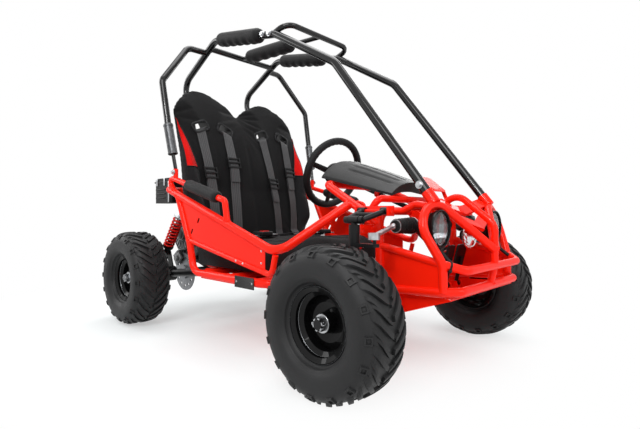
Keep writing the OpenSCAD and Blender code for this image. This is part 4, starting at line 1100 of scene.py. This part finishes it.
def slot_bezel():
    """Moulded frame round a belt slot, lying in its own XY plane."""
    bm = round_plate(77, 47, 16)
    bmesh.ops.inset_region(bm, faces=bm.faces[:], thickness=7.5, depth=0.0, use_boundary=True,
                           use_even_offset=True)
    hole = min(bm.faces, key=lambda f: f.calc_center_median().length)
    bmesh.ops.delete(bm, geom=[hole], context="FACES")
    bmesh.ops.translate(bm, vec=(0, 0, 5), verts=doubled(bm))
    outward(bm)
    rim = [e for e in bm.edges if all(v.co.z > 4.9 for v in e.verts) and e.calc_face_angle(0) > 0.5]
    return rounded(bm, rim, 1.6, 3)


def slot_lining():
    """Thin sleeve through the backrest behind a slot's frame."""
    bm = slot_core(61, 31, 62, 1.1)
    ends = [f for f in bm.faces if abs(f.normal.z) > 0.9]
    bmesh.ops.delete(bm, geom=ends, context="FACES_ONLY")
    outward(bm)
    bmesh.ops.solidify(bm, geom=bm.faces[:], thickness=1.6)
    return outward(bm)


def buckle_case():
    """Buckle body with rounded edges, a waist and a sunk top."""
    bm = block((58, 50, 18), 5.0, 3)
    waist = [v for v in bm.verts if abs(v.co.x) < 12]
    bmesh.ops.scale(bm, vec=(1, 0.9, 1), verts=waist)
    top = max(bm.faces, key=lambda f: f.calc_center_median().z)
    bmesh.ops.inset_region(bm, faces=[top], thickness=4.0, depth=-1.6)
    return bm


def dress_harness():
    """Straps, slides, slot frames and buckles of both harnesses."""
    straps, slides, bezels, linings, cases, buttons, tongues = ([] for _ in range(7))
    for seat in SEATS:
        for s in (-1, 1):
            path, fitted = shoulder_path(seat, s)
            straps.append(ribbon(path))
            k = fitted + SLIDE_STEPS[seat, s]
            slides.append(set_down(adjuster(), on_path(path, k, 2.4)))
            lift = Vector((5.6, 0, 1.0))
            back_run = [(a.lerp(b, 0.04) + lift, b.lerp(a, 0.04) + lift) for a, b in path[k - 1:k + 9]]
            straps += [ribbon(back_run), ribbon(lap_path(seat, s))]
            linings.append(set_down(slot_lining(), slot_place(seat, s)))
            y = seat + s * SLOT_Y
            slope = (back_front(y, SLOT_Z + 16) - back_front(y, SLOT_Z - 16)) / 32
            lean = (back_front(y + 24, SLOT_Z) - back_front(y - 24, SLOT_Z)) / 48
            face = shift(back_front(y, SLOT_Z) - 1.0, y, SLOT_Z) @ SLOT_AXES
            face = face @ turn(-atan2(lean, 1), "Y") @ turn(atan2(slope, 1), "X")
            bezels.append(set_down(slot_bezel(), face @ turn(-s * SLOT_TILT)))
            y = seat + s * 36
            reach = shift(BUCKLE_X, y, cushion_top(BUCKLE_X, y) + 13)
            tongues.append(set_down(block((26, 44, 2.4), 0.8), reach))
        spot = shift(BUCKLE_X, seat, cushion_top(BUCKLE_X, seat) + 17)
        cases.append(set_down(buckle_case(), spot))
        buttons.append(set_down(block((24, 26, 5), 1.6), spot @ shift(10, 0, 8.6)))
    piece("belts", gather(*straps), WEBBING, "chassis", ["harness_belts"], crease=50)
    piece("belt_slides", gather(*slides), MOULDING, "chassis")
    piece("belt_slots", gather(*bezels), TRIM, "chassis", ["harness_hardware"])
    piece("slot_linings", gather(*linings), MOULDING, "chassis")
    piece("belt_buckles", gather(*cases), MOULDING, "chassis")
    piece("buckle_buttons", gather(*buttons), SPRING_RED, "chassis")
    piece("belt_tongues", gather(*tongues), ZINC, "chassis")


dress_harness()


# Foam sleeves

CAGE_Y = 162
RAIL_Y = 350


def sleeve(start, end, shares, radius, bore, scallops=(1, 0.0)):
    """Foam sleeve on part of a tube: rounded ends, a glued seam on top and finger scallops below."""
    bm = grid(72, 36)
    a, b = (Vector(start).lerp(Vector(end), share) for share in shares)
    way = (b - a).normalized()
    down = Vector((0, 0, -1))
    low = (down - way * way.dot(down)).normalized()
    side = way.cross(low)
    length = (b - a).length
    for v in bm.verts:
        t, q = (v.co.x + 1) / 2, pi * v.co.y
        end = min(t, 1 - t) * length / radius
        shape = min(1.0, (1 - (1 - min(1.0, end / 0.9)) ** 2) ** 0.5) if end < 0.9 else 1.0
        under = max(0.0, cos(q)) ** 1.5
        r = bore + (radius - bore) * shape
        r -= scallops[1] * under * (0.5 - 0.5 * cos(FULL_TURN * scallops[0] * t)) * min(1.0, end / 2)
        r -= 1.6 * max(0.0, 1 - abs(abs(q) - pi) * 14)
        v.co = a + way * (length * t) + (low * cos(q) + side * sin(q)) * r
    bmesh.ops.remove_doubles(bm, verts=bm.verts, dist=0.05)
    ends = [e for e in bm.edges if e.is_boundary]
    bmesh.ops.holes_fill(bm, edges=ends, sides=0)
    return outward(bm)


def dress_foam():
    """Sleeves on the two roof tubes, the two armrests and the middle roof tube."""
    pads = []
    for s in (-1, 1):
        pads.append(sleeve((-8, s * CAGE_Y, 1043), (-335, s * CAGE_Y, 1112), (0.12, 0.9), 27, 12.8, (6, 5.0)))
        pads.append(sleeve((8, s * RAIL_Y, 466), (-372, s * RAIL_Y, 567), (0.095, 0.592), 20, 12))
    pads.append(sleeve((-375, 0, 1091), (85, 0, 1058), (0.09, 0.68), 27, 12.8, (5, 4.0)))
    for number, pad in enumerate(pads, 1):
        piece("foam_sleeve_" + str(number), pad, FOAM, "chassis", ["foam_pads"], crease=40)


dress_foam()


# Dash cowl

def cowl():
    """Arched cowl with six grooves along it and a rolled rear edge."""
    bm = grid(44, 96)
    under = set(doubled(bm))
    for v in bm.verts:
        t, w = (v.co.x + 1) / 2, v.co.y
        x = 214 + 260 * t
        edge = 534.9 - 0.244 * (x - 252)
        peak = 602 - 86 * t ** 1.25
        z = edge + (peak - edge) * (1 - abs(w) ** 2.4)
        if v in under:
            z -= 7 + 22 * (1 - w * w)
        else:
            open_len = min(1.0, max(0.0, t - 0.24) / 0.06) * min(1.0, max(0.0, 0.93 - t) / 0.06)
            for groove in (-0.66, -0.42, -0.16, 0.16, 0.42, 0.66):
                z -= 5.0 * open_len * max(0.0, 1 - (abs(w - groove) / 0.055) ** 2)
            z -= 2.5 * max(0.0, 1 - t / 0.05) ** 2
        v.co = (x, w * 128 * (1 - 0.05 * t), z)
    return outward(bm)


def dress_dash():
    """The cowl and the plain oval boss on it."""
    piece("dash_cowl_moulding", cowl(), MOULDING, "chassis", ["dash_cowl"], crease=50)
    boss = turned([(0, 5.2), (19, 4.6), (22, 3.6), (23.5, 1.2), (23.5, -6)], 40)
    bmesh.ops.scale(boss, vec=(0.62, 1.25, 1), verts=boss.verts)
    set_down(boss, at((243, 0, 592.6), (0.23, 0, 0.97)))
    piece("cowl_boss", boss, BLACK_STEEL, "chassis")


dress_dash()


# Lamps and horn

LAMP = Vector((634, 162, 387))


def dress_lamps():
    """Lamp bowls on their studs, with mirror, bulb, lens and rim."""
    shells, lenses = [], []
    for label, side in SIDES.items():
        centre = Vector((LAMP.x, side * LAMP.y, LAMP.z))
        place = at(centre, (1, 0, 0))
        shell = turned([(0, -50), (18, -50), (36, -26), (44, 2), (46, 4), (46, 12), (42.5, 12), (42.5, 5),
                        (40.5, 2), (33, -25), (16, -46.5), (0, -46.5)], 64)
        shells.append(set_down(shell, place))
        shells.append(pipe([centre - Vector((6, 0, 41)), (680, side * 175, 303)], 5, 16))
        lenses.append(set_down(turned([(0, 5), (42, 5), (42, 8), (35, 11), (20, 13.2), (0, 14)], 64), place))
        bowl = [(6 + 34 * (k / 10) ** 0.62, -40 + 43 * (k / 10) ** 1.25) for k in range(11)]
        mirror = turned([(0, -41)] + bowl, 20)
        piece("lamp_mirror_" + label, set_down(mirror, place), REFLECTOR, "chassis", crease=8)
        ring = turned([(42.6, 5), (42.6, 12.2), (44.4, 13.6), (46.4, 12.6), (47.0, 9), (46.4, 4.5)], 64,
                      closed=True)
        piece("lamp_ring_" + label, set_down(ring, place), RIM_BLACK, "chassis")
        bulb = turned([(0, -6), (3, -7), (5, -11), (5.6, -17), (4.6, -25), (7, -27), (7, -40)], 24)
        piece("lamp_bulb_" + label, set_down(bulb, place), GLASS, "chassis")
    piece("lamp_shells", gather(*shells), MOULDING, "chassis", ("headlight_shells",))
    piece("lamp_lenses", gather(*lenses), GLASS, "chassis", ("headlight_lenses",))


def dress_horn():
    """Bright face and black case of the horn, on its stay."""
    place = at((628, 36, 364), (1, 0, 0))
    dish = turned([(0, 8.4), (5, 8.2), (6.5, 7.2), (11, 6.8), (13, 7.6), (15, 6.6), (29, 3.4), (31, 4.2),
                   (35.5, 1.2), (37.6, -2), (37.6, -5), (34, -8)], 64)
    nut = set_down(prism(6, 6.5, 5, 0.8), shift(0, 0, 6.6))
    piece("horn_face", set_down(gather(dish, nut), place), CHROME, "chassis")
    case = turned([(0, -26), (14, -26), (18, -14), (30, -12), (37, -6), (37, -2), (30, 2), (12, 6),
                   (0, 7)], 48)
    stay = pipe([(619, 36, 388), (567, 36, 434)], 4, 16)
    piece("horn_case", gather(set_down(case, place), stay), MOULDING, "chassis", ("horn",))


dress_lamps()
dress_horn()


# Steering wheel

WHEEL_HUB = Vector((14, 150, 584))
PINION = Vector((542.7, 92, 384))
COLUMN = (WHEEL_HUB - PINION).normalized()
GRIP_R, GRIP_THICK = 128, 14


def steering():
    """Grip with finger notches, three drilled spokes, padded hub and the column down to the pinion."""
    place = Matrix.Translation(WHEEL_HUB) @ turn(atan2(COLUMN.y, COLUMN.x)) @ turn(acos(COLUMN.z), "Y")
    grip = turned(circle(GRIP_R, 0, GRIP_THICK, 20), 168, closed=True)
    for v in grip.verts:
        r = Vector(v.co.xy).length
        q = atan2(v.co.y, v.co.x)
        inner = max(0.0, (GRIP_R - r) / GRIP_THICK) * (1.0 if v.co.z < 4 else 0.4)
        push = 1 + 1.5 * inner * (0.5 - 0.5 * cos(q * 36)) / r
        v.co.x *= push
        v.co.y *= push
    spokes = []
    for angle in (0, 105, 255):
        arm = block((84, 24, 4.2), 1.4)
        for v in arm.verts:
            v.co.y *= 1 - 0.22 * (v.co.x + 42) / 84
            v.co.z += -2.5 + 0.03 * (v.co.x - 42)
        holes = [turned([(r, 1.2), (r + 2.2, 2.6), (r + 2.6, 0.8), (r + 2.4, 0)], 20) for r in (6.4, 5.0)]
        pads = [set_down(h, shift(x, 0, z)) for h, x, z in zip(holes, (-8, 14), (-2.4, -1.2))]
        spokes.append(set_down(gather(arm, *pads), turn(radians(angle)) @ shift(78, 0, 0)))
    hub = turned([(0, 9.5), (24, 8.6), (36, 6.2), (41, 3.0), (43, -2), (43.5, -8), (38, -12), (30, -24),
                  (26, -30), (18, -32), (16, -42), (9, -43)], 56)
    ring = turned([(30, 7.6), (31.4, 8.6), (33, 7.2)], 56)
    piece("wheel_grip", set_down(grip, place), GRIP, "steering", ["steering_wheel"])
    piece("wheel_spokes", set_down(gather(*spokes), place), BLACK_STEEL, "steering")
    piece("wheel_hub", set_down(gather(hub, ring), place), MOULDING, "steering")
    low = PINION + COLUMN * 18
    shaft = turned([(0, 0), (8, 0), (8, 420), (11, 424), (11, 452), (8.2, 456), (8.2, 526)], 24)
    piece("steering_shaft", set_down(shaft, at(low, COLUMN)), BLACK_STEEL, "steering")


steering()


# Chain

CRANK = Vector((-560, 339))
AXLE = Vector((REAR_X, TYRE_R))
SMALL_SPROCKET, BIG_SPROCKET = 30.2, 82.2
LINK = 12.7


def chain():
    """Roller chain: rollers and paired plates at an even pitch round the two sprockets."""
    gap = AXLE - CRANK
    lean = atan2(gap.y, gap.x)
    open_angle = acos((SMALL_SPROCKET - BIG_SPROCKET) / gap.length)
    route = []
    for hub, radius, first, sweep, steps in (
        (CRANK, SMALL_SPROCKET, lean + open_angle, FULL_TURN - 2 * open_angle, 24),
        (AXLE, BIG_SPROCKET, lean - open_angle, 2 * open_angle, 64),
    ):
        angles = [first + sweep * k / steps for k in range(steps + 1)]
        route += [hub + Vector((cos(q), sin(q))) * radius for q in angles]
    route.append(route[0])
    lengths = [0.0]
    for p, q in zip(route, route[1:]):
        lengths.append(lengths[-1] + (q - p).length)
    count = 2 * round(lengths[-1] / (2 * LINK))

    def spot(s):
        s %= lengths[-1]
        k = max(i for i, run in enumerate(lengths[:-1]) if run <= s)
        return route[k].lerp(route[k + 1], (s - lengths[k]) / max(lengths[k + 1] - lengths[k], 1e-6))

    pins = [spot(lengths[-1] * k / count) for k in range(count)]
    parts = []
    for k, pin in enumerate(pins):
        parts.append(set_down(prism(10, 3.9, 7.4), at((pin.x, 168.7, pin.y), (0, -1, 0))))
        after = pins[(k + 1) % count]
        middle, way = (pin + after) / 2, after - pin
        place = shift(middle.x, 165, middle.y) @ turn(-atan2(way.y, way.x), "Y")
        for s in (-1, 1):
            plate = block((way.length + 6.4, 1.1, 7.6), 0)
            ends = [e for e in plate.edges if abs(e.verts[0].co.y - e.verts[1].co.y) > 0.5]
            rounded(plate, ends, 2.6)
            parts.append(set_down(plate, place @ shift(0, s * (2.4 if k % 2 else 3.4), 0)))
    return gather(*parts)


piece("roller_chain", chain(), CHAIN, "swing_arm", ["drive_chain"])


# Sheet panels and the nose

def bent(points, bend, steps=10):
    """Path of a tube with a round bend at each inner point."""
    knots = [Vector(p) for p in points]
    path = [knots[0]]
    for a, b, c in zip(knots, knots[1:], knots[2:]):
        back, on = (a - b).normalized(), (c - b).normalized()
        half = (pi - back.angle(on)) / 2
        middle = b + (back + on).normalized() * bend / cos(half)
        start, end = b + back * bend * tan(half) - middle, b + on * bend * tan(half) - middle
        path += [middle + start.slerp(end, k / steps) * bend for k in range(steps + 1)]
    return path + [knots[-1]]


def upright_plate(outline, y0, y1, holes=()):
    """Sheet standing along the kart, with holes in it."""
    bm = bmesh.new()
    edges = []
    for loop in (outline, *holes):
        verts = [bm.verts.new((x, y0, z)) for x, z in loop]
        edges += [bm.edges.new(pair) for pair in zip(verts, verts[1:] + verts[:1])]
    bmesh.ops.triangle_fill(bm, use_beauty=True, use_dissolve=False, edges=edges, normal=(0, 1, 0))
    bmesh.ops.translate(bm, vec=(0, y1 - y0, 0), verts=doubled(bm))
    return outward(bm)


def slot_outline(x, z, way, half, radius):
    """Round-ended slot along a direction."""
    turned_by = atan2(way[1], way[0])
    return [(x + s * half * cos(turned_by) + radius * cos(turned_by + q),
             z + s * half * sin(turned_by) + radius * sin(turned_by + q))
            for s, start in ((1, -pi / 2), (-1, pi / 2)) for q in [start + pi * k / 10 for k in range(11)]]


def both_sides(part):
    """A shape and its mirror image on the other side of the kart."""
    return gather(across(part), part)


PANEL_OUTLINE = ((-283, 492), (205, 332), (205, 258.5), (-205, 334))
PANEL_OUT, PANEL_IN = 351.2, 348.8
NOSE_SIDE = ((492, 343), (667, 305), (668, 240), (492, 231))
CHEVRONS = (((633, 0, 423), (630, -140, 449)), ((682, 0, 384), (657, -94, 409)))
SHEET = 2.4
RACK_X, RACK_Z = 548.7, 393


def chevron_arm(low, outer):
    """One arm of a chevron: a strip that leans back, with its front edge turned down."""
    along = (Vector(outer) - Vector(low)).normalized()
    down = along.cross(Vector((-0.78, 0, 0.62))).normalized()
    back = down.cross(along)
    length = (Vector(outer) - Vector(low)).length + 4
    axes = Matrix((along, back, down)).transposed().to_4x4()
    arm = gather(set_down(block((length, 32, SHEET), 0.7), shift(length / 2 - 4, 16, SHEET / 2)),
                 set_down(block((length, SHEET, 9), 0.7), shift(length / 2 - 4, SHEET / 2, 4.5)))
    return set_down(arm, Matrix.Translation(Vector(low)) @ axes)


def dress_panels():
    """Slotted side plates, and the nose's top plate with its stays, side plates and chevrons."""
    slots = [slot_outline(x, z, (0.56, 0.83), 7, 4.5) for x, z in ((-146, 401), (-188, 364))]
    sides = both_sides(upright_plate(PANEL_OUTLINE, -PANEL_OUT, -PANEL_IN, slots))
    piece("side_plates", sides, RED, "chassis", ("side_panels",), crease=20)
    top = block((71, 100, SHEET), 0)
    rounded(top, [e for e in top.edges if abs(e.verts[0].co.z - e.verts[1].co.z) > 1], 12, 6)
    set_down(top, shift(520, 0, 509) @ turn(radians(38), "Y") @ shift(0, 0, SHEET / 2))
    stays = both_sides(upright_plate(((528, 504), (545, 491), (567, 441), (555, 441)), -45 - SHEET, -45))
    lower = both_sides(upright_plate(NOSE_SIDE, -201.2, -198.8))
    arms = [both_sides(chevron_arm(*c)) for c in CHEVRONS]
    piece("nose_plates", gather(top, stays, lower, *arms), RED, "chassis", ("nose_panels",),
          crease=20)


def span(low, high, soften=0.8):
    """A plate from corner to corner."""
    low, high = Vector(low), Vector(high)
    return set_down(block(high - low, soften), Matrix.Translation((low + high) / 2))


def bolt_along(x, y, z, length):
    """Bolt along the kart about its middle."""
    return pipe([(x - length / 2, y, z), (x + length / 2, y, z)], 5, 16)


def arm_bracket(z, low, high):
    """Channel with a through bolt that a wishbone turns on."""
    ears = [span((x, -238, z - 12), (x + 5, -214, z + 12)) for x in (436.5, 537.5)]
    return [span((436.5, -215, low), (542.5, -210, high)), *ears, bolt_along(489.5, -226, z, 112)]


def damper_fork():
    """Fork behind the tower that holds the damper's upper eye."""
    cheeks = [span((x, -252, 372), (x + 6, -199, 396)) for x in (433.5, 463.5)]
    return [span((433.5, -208, 372), (492, -198, 390)), *cheeks, bolt_along(451.5, -240, 388, 42)]


def rack_plate():
    """Plate that carries the rack housing under the tower."""
    outline = ((488, 439), (502, 439), (570.7, 407), (570.7, 373), (528.7, 373), (488, 423))
    return upright_plate(outline, -63, -57, [circle(RACK_X, RACK_Z, 14, 32)])


def nose_frame():
    """Bumpers, ridge tube, round lamp loops, suspension towers and their brackets."""
    def over(*path):
        """A path and its mirror image, from the right side to the left."""
        return [*path, *[(x, -y, z) for x, y, z in reversed(path)]]

    middle = [
        pipe(bent(over((380.8, -203, 226), (668, -197, 240), (697, -165, 240)), 30), 11, 24),
        pipe(bent(over((667, -197, 305), (709, -158, 290)), 30), 10.5, 24),
        pipe(bent(over((492, -203, 231), (492, -203, 431)), 35), 11, 24),
        pipe([(697, 0, 240), (709, 0, 290)], 9.5, 20),
        pipe(bent([(709, 0, 290), (709, 0, 396), (600, 0, 484), (561, 0, 441)], 40), 9.5, 24),
        pipe([(561, -163, 441), (561, 163, 441)], 8.5, 20),
    ]
    loop = [(668, -197, 240), (667, -197, 305), (628, -231, 395), (618, -165, 466), (710, -4, 333)]
    side = [
        pipe(bent(loop, 56), 11, 24),
        pipe([(667, -197, 305), (492, -203, 343)], 9.5, 20),
        pipe(bent([(492, -165, 431), (540, -165, 431), (574, -163, 448), (622, -164, 440)], 22), 9.5, 20),
        pipe([(606.2, -162, 477.8), (628, -162.4, 449.6)], 15.2, 24),
        span((495, -215, 379), (504, -210, 431)),
        *arm_bracket(431, 418, 444), *arm_bracket(172, 159, 231), *damper_fork(), rack_plate(),
    ]
    return piece("nose_frame", gather(*middle, both_sides(gather(*side))), RED, "chassis",
                 ("front_frame",))


dress_panels()
NOSE_FRAME = nose_frame()


# Fittings on the frame

def touch(tree, start, way):
    """Where a line first meets a surface, in millimetres, and which way the surface looks there."""
    point, normal = tree.ray_cast(Vector(start) / 1000, Vector(way).normalized())[:2]
    return (point * 1000, normal) if point else (None, None)


def dome(radius):
    """Head of a rivet or a button screw."""
    return turned([(0, radius * 0.6), (radius * 0.45, radius * 0.52), (radius * 0.85, radius * 0.28),
                   (radius, -0.4)], 16)


def hex_bolt(size):
    """Hexagon head on its washer."""
    washer = turned([(0, 1.5), (size * 1.1, 1.5), (size * 1.2, 1.0), (size * 1.2, -0.4)], 24)
    return gather(washer, set_down(prism(6, size * 0.8, size * 0.7, size * 0.1), shift(0, 0, 1.4)))


def weld(tree, start, end, radius):
    """Bead round the end of a tube where it meets another, found by looking along the tube."""
    way = (Vector(end) - Vector(start)).normalized()
    side = way.orthogonal().normalized()
    over = way.cross(side)
    ring = []
    for k in range(33):
        q = FULL_TURN * k / 32
        ring.append(touch(tree, Vector(start) + (side * cos(q) + over * sin(q)) * (radius + 1.0), way)[0])
    return pipe(ring, 2.2, 8) if all(ring) else bmesh.new()


def frame_welds():
    """Beads where the tubes of the frame and of the cage meet."""
    beads = []
    for label, side in SIDES.items():
        y = side * RAIL_Y
        rails = surface_of(NODES["side_frame_" + label])
        for start, end, radius in (
            ((14, y, 437), (24, y, 391), 9.5),
            ((-330, y, 527), (-300, y, 498), 9.5),
            ((-240, y, 405), (-283, y, 492), 11.7),
            ((-30, y, 301.8), (-205, y, 334), 8.5),
        ):
            beads.append(weld(rails, start, end, radius))
        dash = surface_of(NODES["dash_frame"])
        beads.append(weld(dash, (317, side * 264, 385), (376.8, side * 177.6, 455.2), 12.7))
        floor = surface_of(NODES["lower_frame"])
        beads += [weld(floor, (x, side * 290, 226), (x, y, 226), r) for x, r in ((20, 10.7), (150, 9.5))]
    nose = surface_of(NOSE_FRAME)
    beads += [weld(nose, (703, 0, 265), (703 + s * 6, 0, 265 + s * 25), 9.5) for s in (-1, 1)]
    piece("frame_welds", gather(*beads), RED, "chassis", crease=60)
    roof = surface_of(NODES["cage_rear"])
    ends = [weld(roof, (-375, s * 100, 1091), (-375, s * CAGE_Y, 1091), 11.5) for s in (-1, 1)]
    piece("cage_welds", gather(*ends), BLACK, "chassis", crease=60)


def clamp(r):
    """Band round the end of a rubber boot."""
    return turned([(r - 1, -2.4), (r + 1.0, -2.4), (r + 1.4, 0), (r + 1.0, 2.4), (r - 1, 2.4)], 36,
                  closed=True)


def frame_fittings():
    """Panel screws, the bare plate on the right floor rail, the bumper's tie, brace sleeves, boot clamps."""
    heads = []
    for label, side in SIDES.items():
        rails = surface_of(NODES["side_frame_" + label])
        for x, z in ((78, 284), (112, 278)):
            spot, out = touch(rails, (x, side * 500, z), (0, -side, 0))
            heads.append(set_down(dome(3.4), at(spot, out)))
        for x, z in ((190, 318), (190, 284)):
            heads.append(set_down(dome(3.4), at((x, side * PANEL_OUT, z), (0, side, 0))))
    piece("panel_screws", gather(*heads), ZINC, "chassis")

    plate = block((92, 2.4, 34), 1.0)
    outer = min(plate.faces, key=lambda f: f.calc_center_median().y)
    bmesh.ops.inset_region(plate, faces=[outer], thickness=3.0, depth=-0.7)
    set_down(plate, shift(127, -364.0, 224))
    piece("bare_plate", plate, BLACK, "chassis")
    rivets = copies(lambda: dome(3.0), [at((x, -364.9, 224), (0, -1, 0)) for x in (90, 164)])
    piece("plate_rivets", rivets, ZINC, "chassis")

    foot, bend = Vector((667, -197, 305)), Vector((709, -158, 290))
    band = turned([(10.6, -2.4), (12.0, -2.4), (12.0, 2.4), (10.6, 2.4)], 32, closed=True)
    head = set_down(block((6, 8, 7), 1.2), shift(14, 0, 0))
    tie = set_down(gather(band, head), at(foot.lerp(bend, 0.3), bend - foot))
    piece("cable_tie", tie, BLACK_STEEL, "chassis")

    for label, side in SIDES.items():
        low, top = Vector((-311, side * 355, 640)), Vector((-334, side * 361, 742))
        length = (top - low).length + 8
        skin = turned([(13.4, -0.6), (16.0, -0.6), (17.4, 0.6), (17.4, 5), (16.4, 6.5), (16.4, length - 9),
                       (17.6, length - 7.5), (17.6, length - 1), (16.6, length + 0.6),
                       (13.2, length + 0.6)], 40)
        set_down(skin, at(low, top - low))
        piece("brace_sleeve_" + label, skin, SLEEVE_STEEL, "chassis")
        clamps = [set_down(clamp(r), at((RACK_X, side * y, RACK_Z), (0, 1, 0)))
                  for y, r in ((141, 21.5), (213.5, 15.6))]
        piece("boot_clamps_" + label, gather(*clamps), ZINC, "rack")


frame_welds()
frame_fittings()


# Pedal pads

PEDALS = (("throttle", 95, 30), ("brake", 165, 44))
for body, y, wide in PEDALS:
    pad = shift(537, y, 294) @ turn(radians(14), "Y")
    ribs = blocks((3.6, wide, 4.6), 1.2, [pad @ shift(-8.2, 0, 9.5 * k) for k in range(-3, 4)])
    sole = set_down(block((2.4, wide + 6, 66), 1.1), pad @ shift(-7.0, 0, 0))
    piece(body + "_pad", gather(sole, ribs), BELLOWS, body)


# Engine

SHROUD_X, SHROUD_TOP = -548, 523
TANK_X = -302
TANK_STRAPS = (-90, 60)
PULL_ANGLE = 2.2


def starter():
    """Recoil starter: ribbed grille with its cap, housing bolts and the pull handle in its guide."""
    face = at((CRANK.x, -99, CRANK.y), (0, -1, 0))
    grille = blocks((30, 3.0, 2.6), 0.8, round_about(20, face, (48, 0, 85)))
    rings = [set_down(turned([(r, 83.6), (r + 0.8, 85.8), (r + 3.2, 85.8), (r + 4, 83.6)], 48), face)
             for r in (29, 65)]
    cap = set_down(turned([(0, 96), (9, 95.6), (19, 94), (25, 91.4), (26.4, 88)], 40), face)
    line = face @ turn(PULL_ANGLE)
    guide = set_down(block((16, 20, 18), 3), line @ shift(101, 0, 48))
    piece("starter_grille", gather(grille, *rings, cap, guide), BLACK_STEEL, "swing_arm")
    bolts = copies(lambda: hex_bolt(6), round_about(6, face, (92, 0, 62), pi / 6))
    piece("starter_bolts", bolts, ZINC, "swing_arm")
    pull = block((12, 46, 13), 5, 3)
    for v in pull.verts:
        v.co.x += 0.006 * v.co.y ** 2
    piece("starter_pull", set_down(pull, line @ shift(114, 0, 48)), GRIP, "swing_arm")


def plug_and_carburettor():
    """Spark plug with its boot and lead, louvres on the shroud, and the carburettor under the intake."""
    socket = at((SHROUD_X, 88, 487), (0, 1, 0))
    piece("spark_plug", set_down(prism(6, 10, 9, 1.0), socket), ZINC, "swing_arm")
    boot = turned([(7.4, 8), (10, 9), (10.4, 16), (8.6, 20), (8.4, 40), (7, 46), (0, 47)], 28)
    set_down(boot, socket)
    lead = pipe(smooth_path([(SHROUD_X, 133, 487), (-549, 142, 472), (-552, 140, 440), (-556, 126, 414),
                             (-558, 114, 394)], 6), 3.2, 12)
    piece("plug_boot", gather(boot, lead), BELLOWS, "swing_arm")
    louvres = blocks((92, 11, 6), 2.4, [shift(SHROUD_X, y, SHROUD_TOP) for y in range(-66, 67, 22)])
    screws = copies(lambda: hex_bolt(5),
                    [at((SHROUD_X + x, y, SHROUD_TOP), (0, 0, 1)) for x in (-56, 56) for y in (-66, 66)])
    piece("shroud_louvres", louvres, CASTING, "swing_arm")
    piece("shroud_bolts", screws, ZINC, "swing_arm")
    bowl = turned([(0, 46), (10, 46), (18, 42), (20.5, 34), (20.5, 16), (24, 14), (24, 7), (17, 2)], 36)
    set_down(bowl, at((-590, -138, 490), (0, 0, -1)))
    flanges = blocks((58, 7, 44), 3, [shift(-590, y, 500) for y in (-98, -112, -172)])
    piece("carburettor", gather(bowl, flanges), CASTING, "swing_arm")


def silencer():
    """Rolled end seams, a louvred guard and the tail pipe of the silencer."""
    line = at((-672, -74, 452), (0, 1, 0))
    seams = [set_down(turned([(35.6, h - 4), (38, h - 3), (38.6, h), (38, h + 3), (35.6, h + 4)], 48), line)
             for h in (5, 175)]
    tail = set_down(turned([(12, 178), (12, 212), (10, 212), (10, 184), (0, 184)], 28), line)
    piece("silencer_ends", gather(*seams, tail), RACK_IRON, "swing_arm")
    guard = turned(((39, 20), (41.5, 24), (41.5, 156), (39, 160)), 24, angle=radians(150))
    bmesh.ops.solidify(guard, geom=guard.faces[:], thickness=1.4)
    set_down(guard, line @ turn(radians(105)))
    places = [line @ turn(radians(q)) @ shift(41.8, 0, h) for q in (136, 180, 224) for h in range(34, 150, 16)]
    slats = blocks((3.4, 20, 7), 1.4, places)
    piece("silencer_guard", gather(guard, slats), STEEL, "swing_arm")


def filter_and_tank():
    """Clips, lid band and ribs of the air filter box, and the tank's cap and straps."""
    band = set_down(block((143, 65, 6), 2.4), shift(-606, -218, 560))
    ribs = blocks((84, 4, 5), 1.6, [shift(-622, -249.4, z) for z in (492, 510, 528)])
    piece("filter_lid", gather(band, ribs), MOULDING, "swing_arm")
    clips = blocks((11, 3.4, 32), 1.2, [shift(x, -250.6, 560) for x in (-650, -585)])
    strap = set_down(block((10, 3, 88), 1.0), shift(-549, -249.8, 518))
    piece("filter_clips", gather(clips, strap), ZINC, "swing_arm")
    neck = shift(TANK_X, 120, 291)
    cap = set_down(turned([(0, 16), (16, 16), (19, 14.5), (20.5, 11), (20.5, 1), (18, 0)], 40), neck)
    grips = blocks((3, 2.6, 10), 0.8, round_about(20, neck, (20.6, 0, 6)))
    piece("tank_cap", gather(cap, grips), MOULDING, "chassis")
    bands = blocks((80, 16, 1.8), 0.6, [shift(TANK_X, y, 287) for y in TANK_STRAPS])
    sides = blocks((1.8, 16, 46), 0.6, [shift(TANK_X + s * 39.4, y, 264) for y in TANK_STRAPS for s in (-1, 1)])
    piece("tank_straps", gather(bands, sides), BLACK_STEEL, "chassis")


def caliper():
    """Brake caliper over the disc's rim, on a bracket from the engine plate."""
    rim = shift(AXLE.x, -178, AXLE.y) @ turn(radians(-125), "Y")
    halves = [set_down(block((38, 13, 52), 3.5, 3), rim @ shift(68, s * 11.5, 0)) for s in (-1, 1)]
    bridge = set_down(block((14, 36, 44), 3.5, 3), rim @ shift(90, 0, 0))
    piston = set_down(turned([(0, 9), (11, 8.6), (12.6, 7), (13, 0)], 32), rim @ shift(68, -17.5, 0)
                      @ turn(pi / 2, "X"))
    arm = set_down(block((46, 26, 5), 1.2), shift(-592, -148, 237))
    piece("brake_caliper", gather(*halves, bridge, piston, arm), CASTING, "swing_arm")


starter()
plug_and_carburettor()
silencer()
filter_and_tank()
caliper()
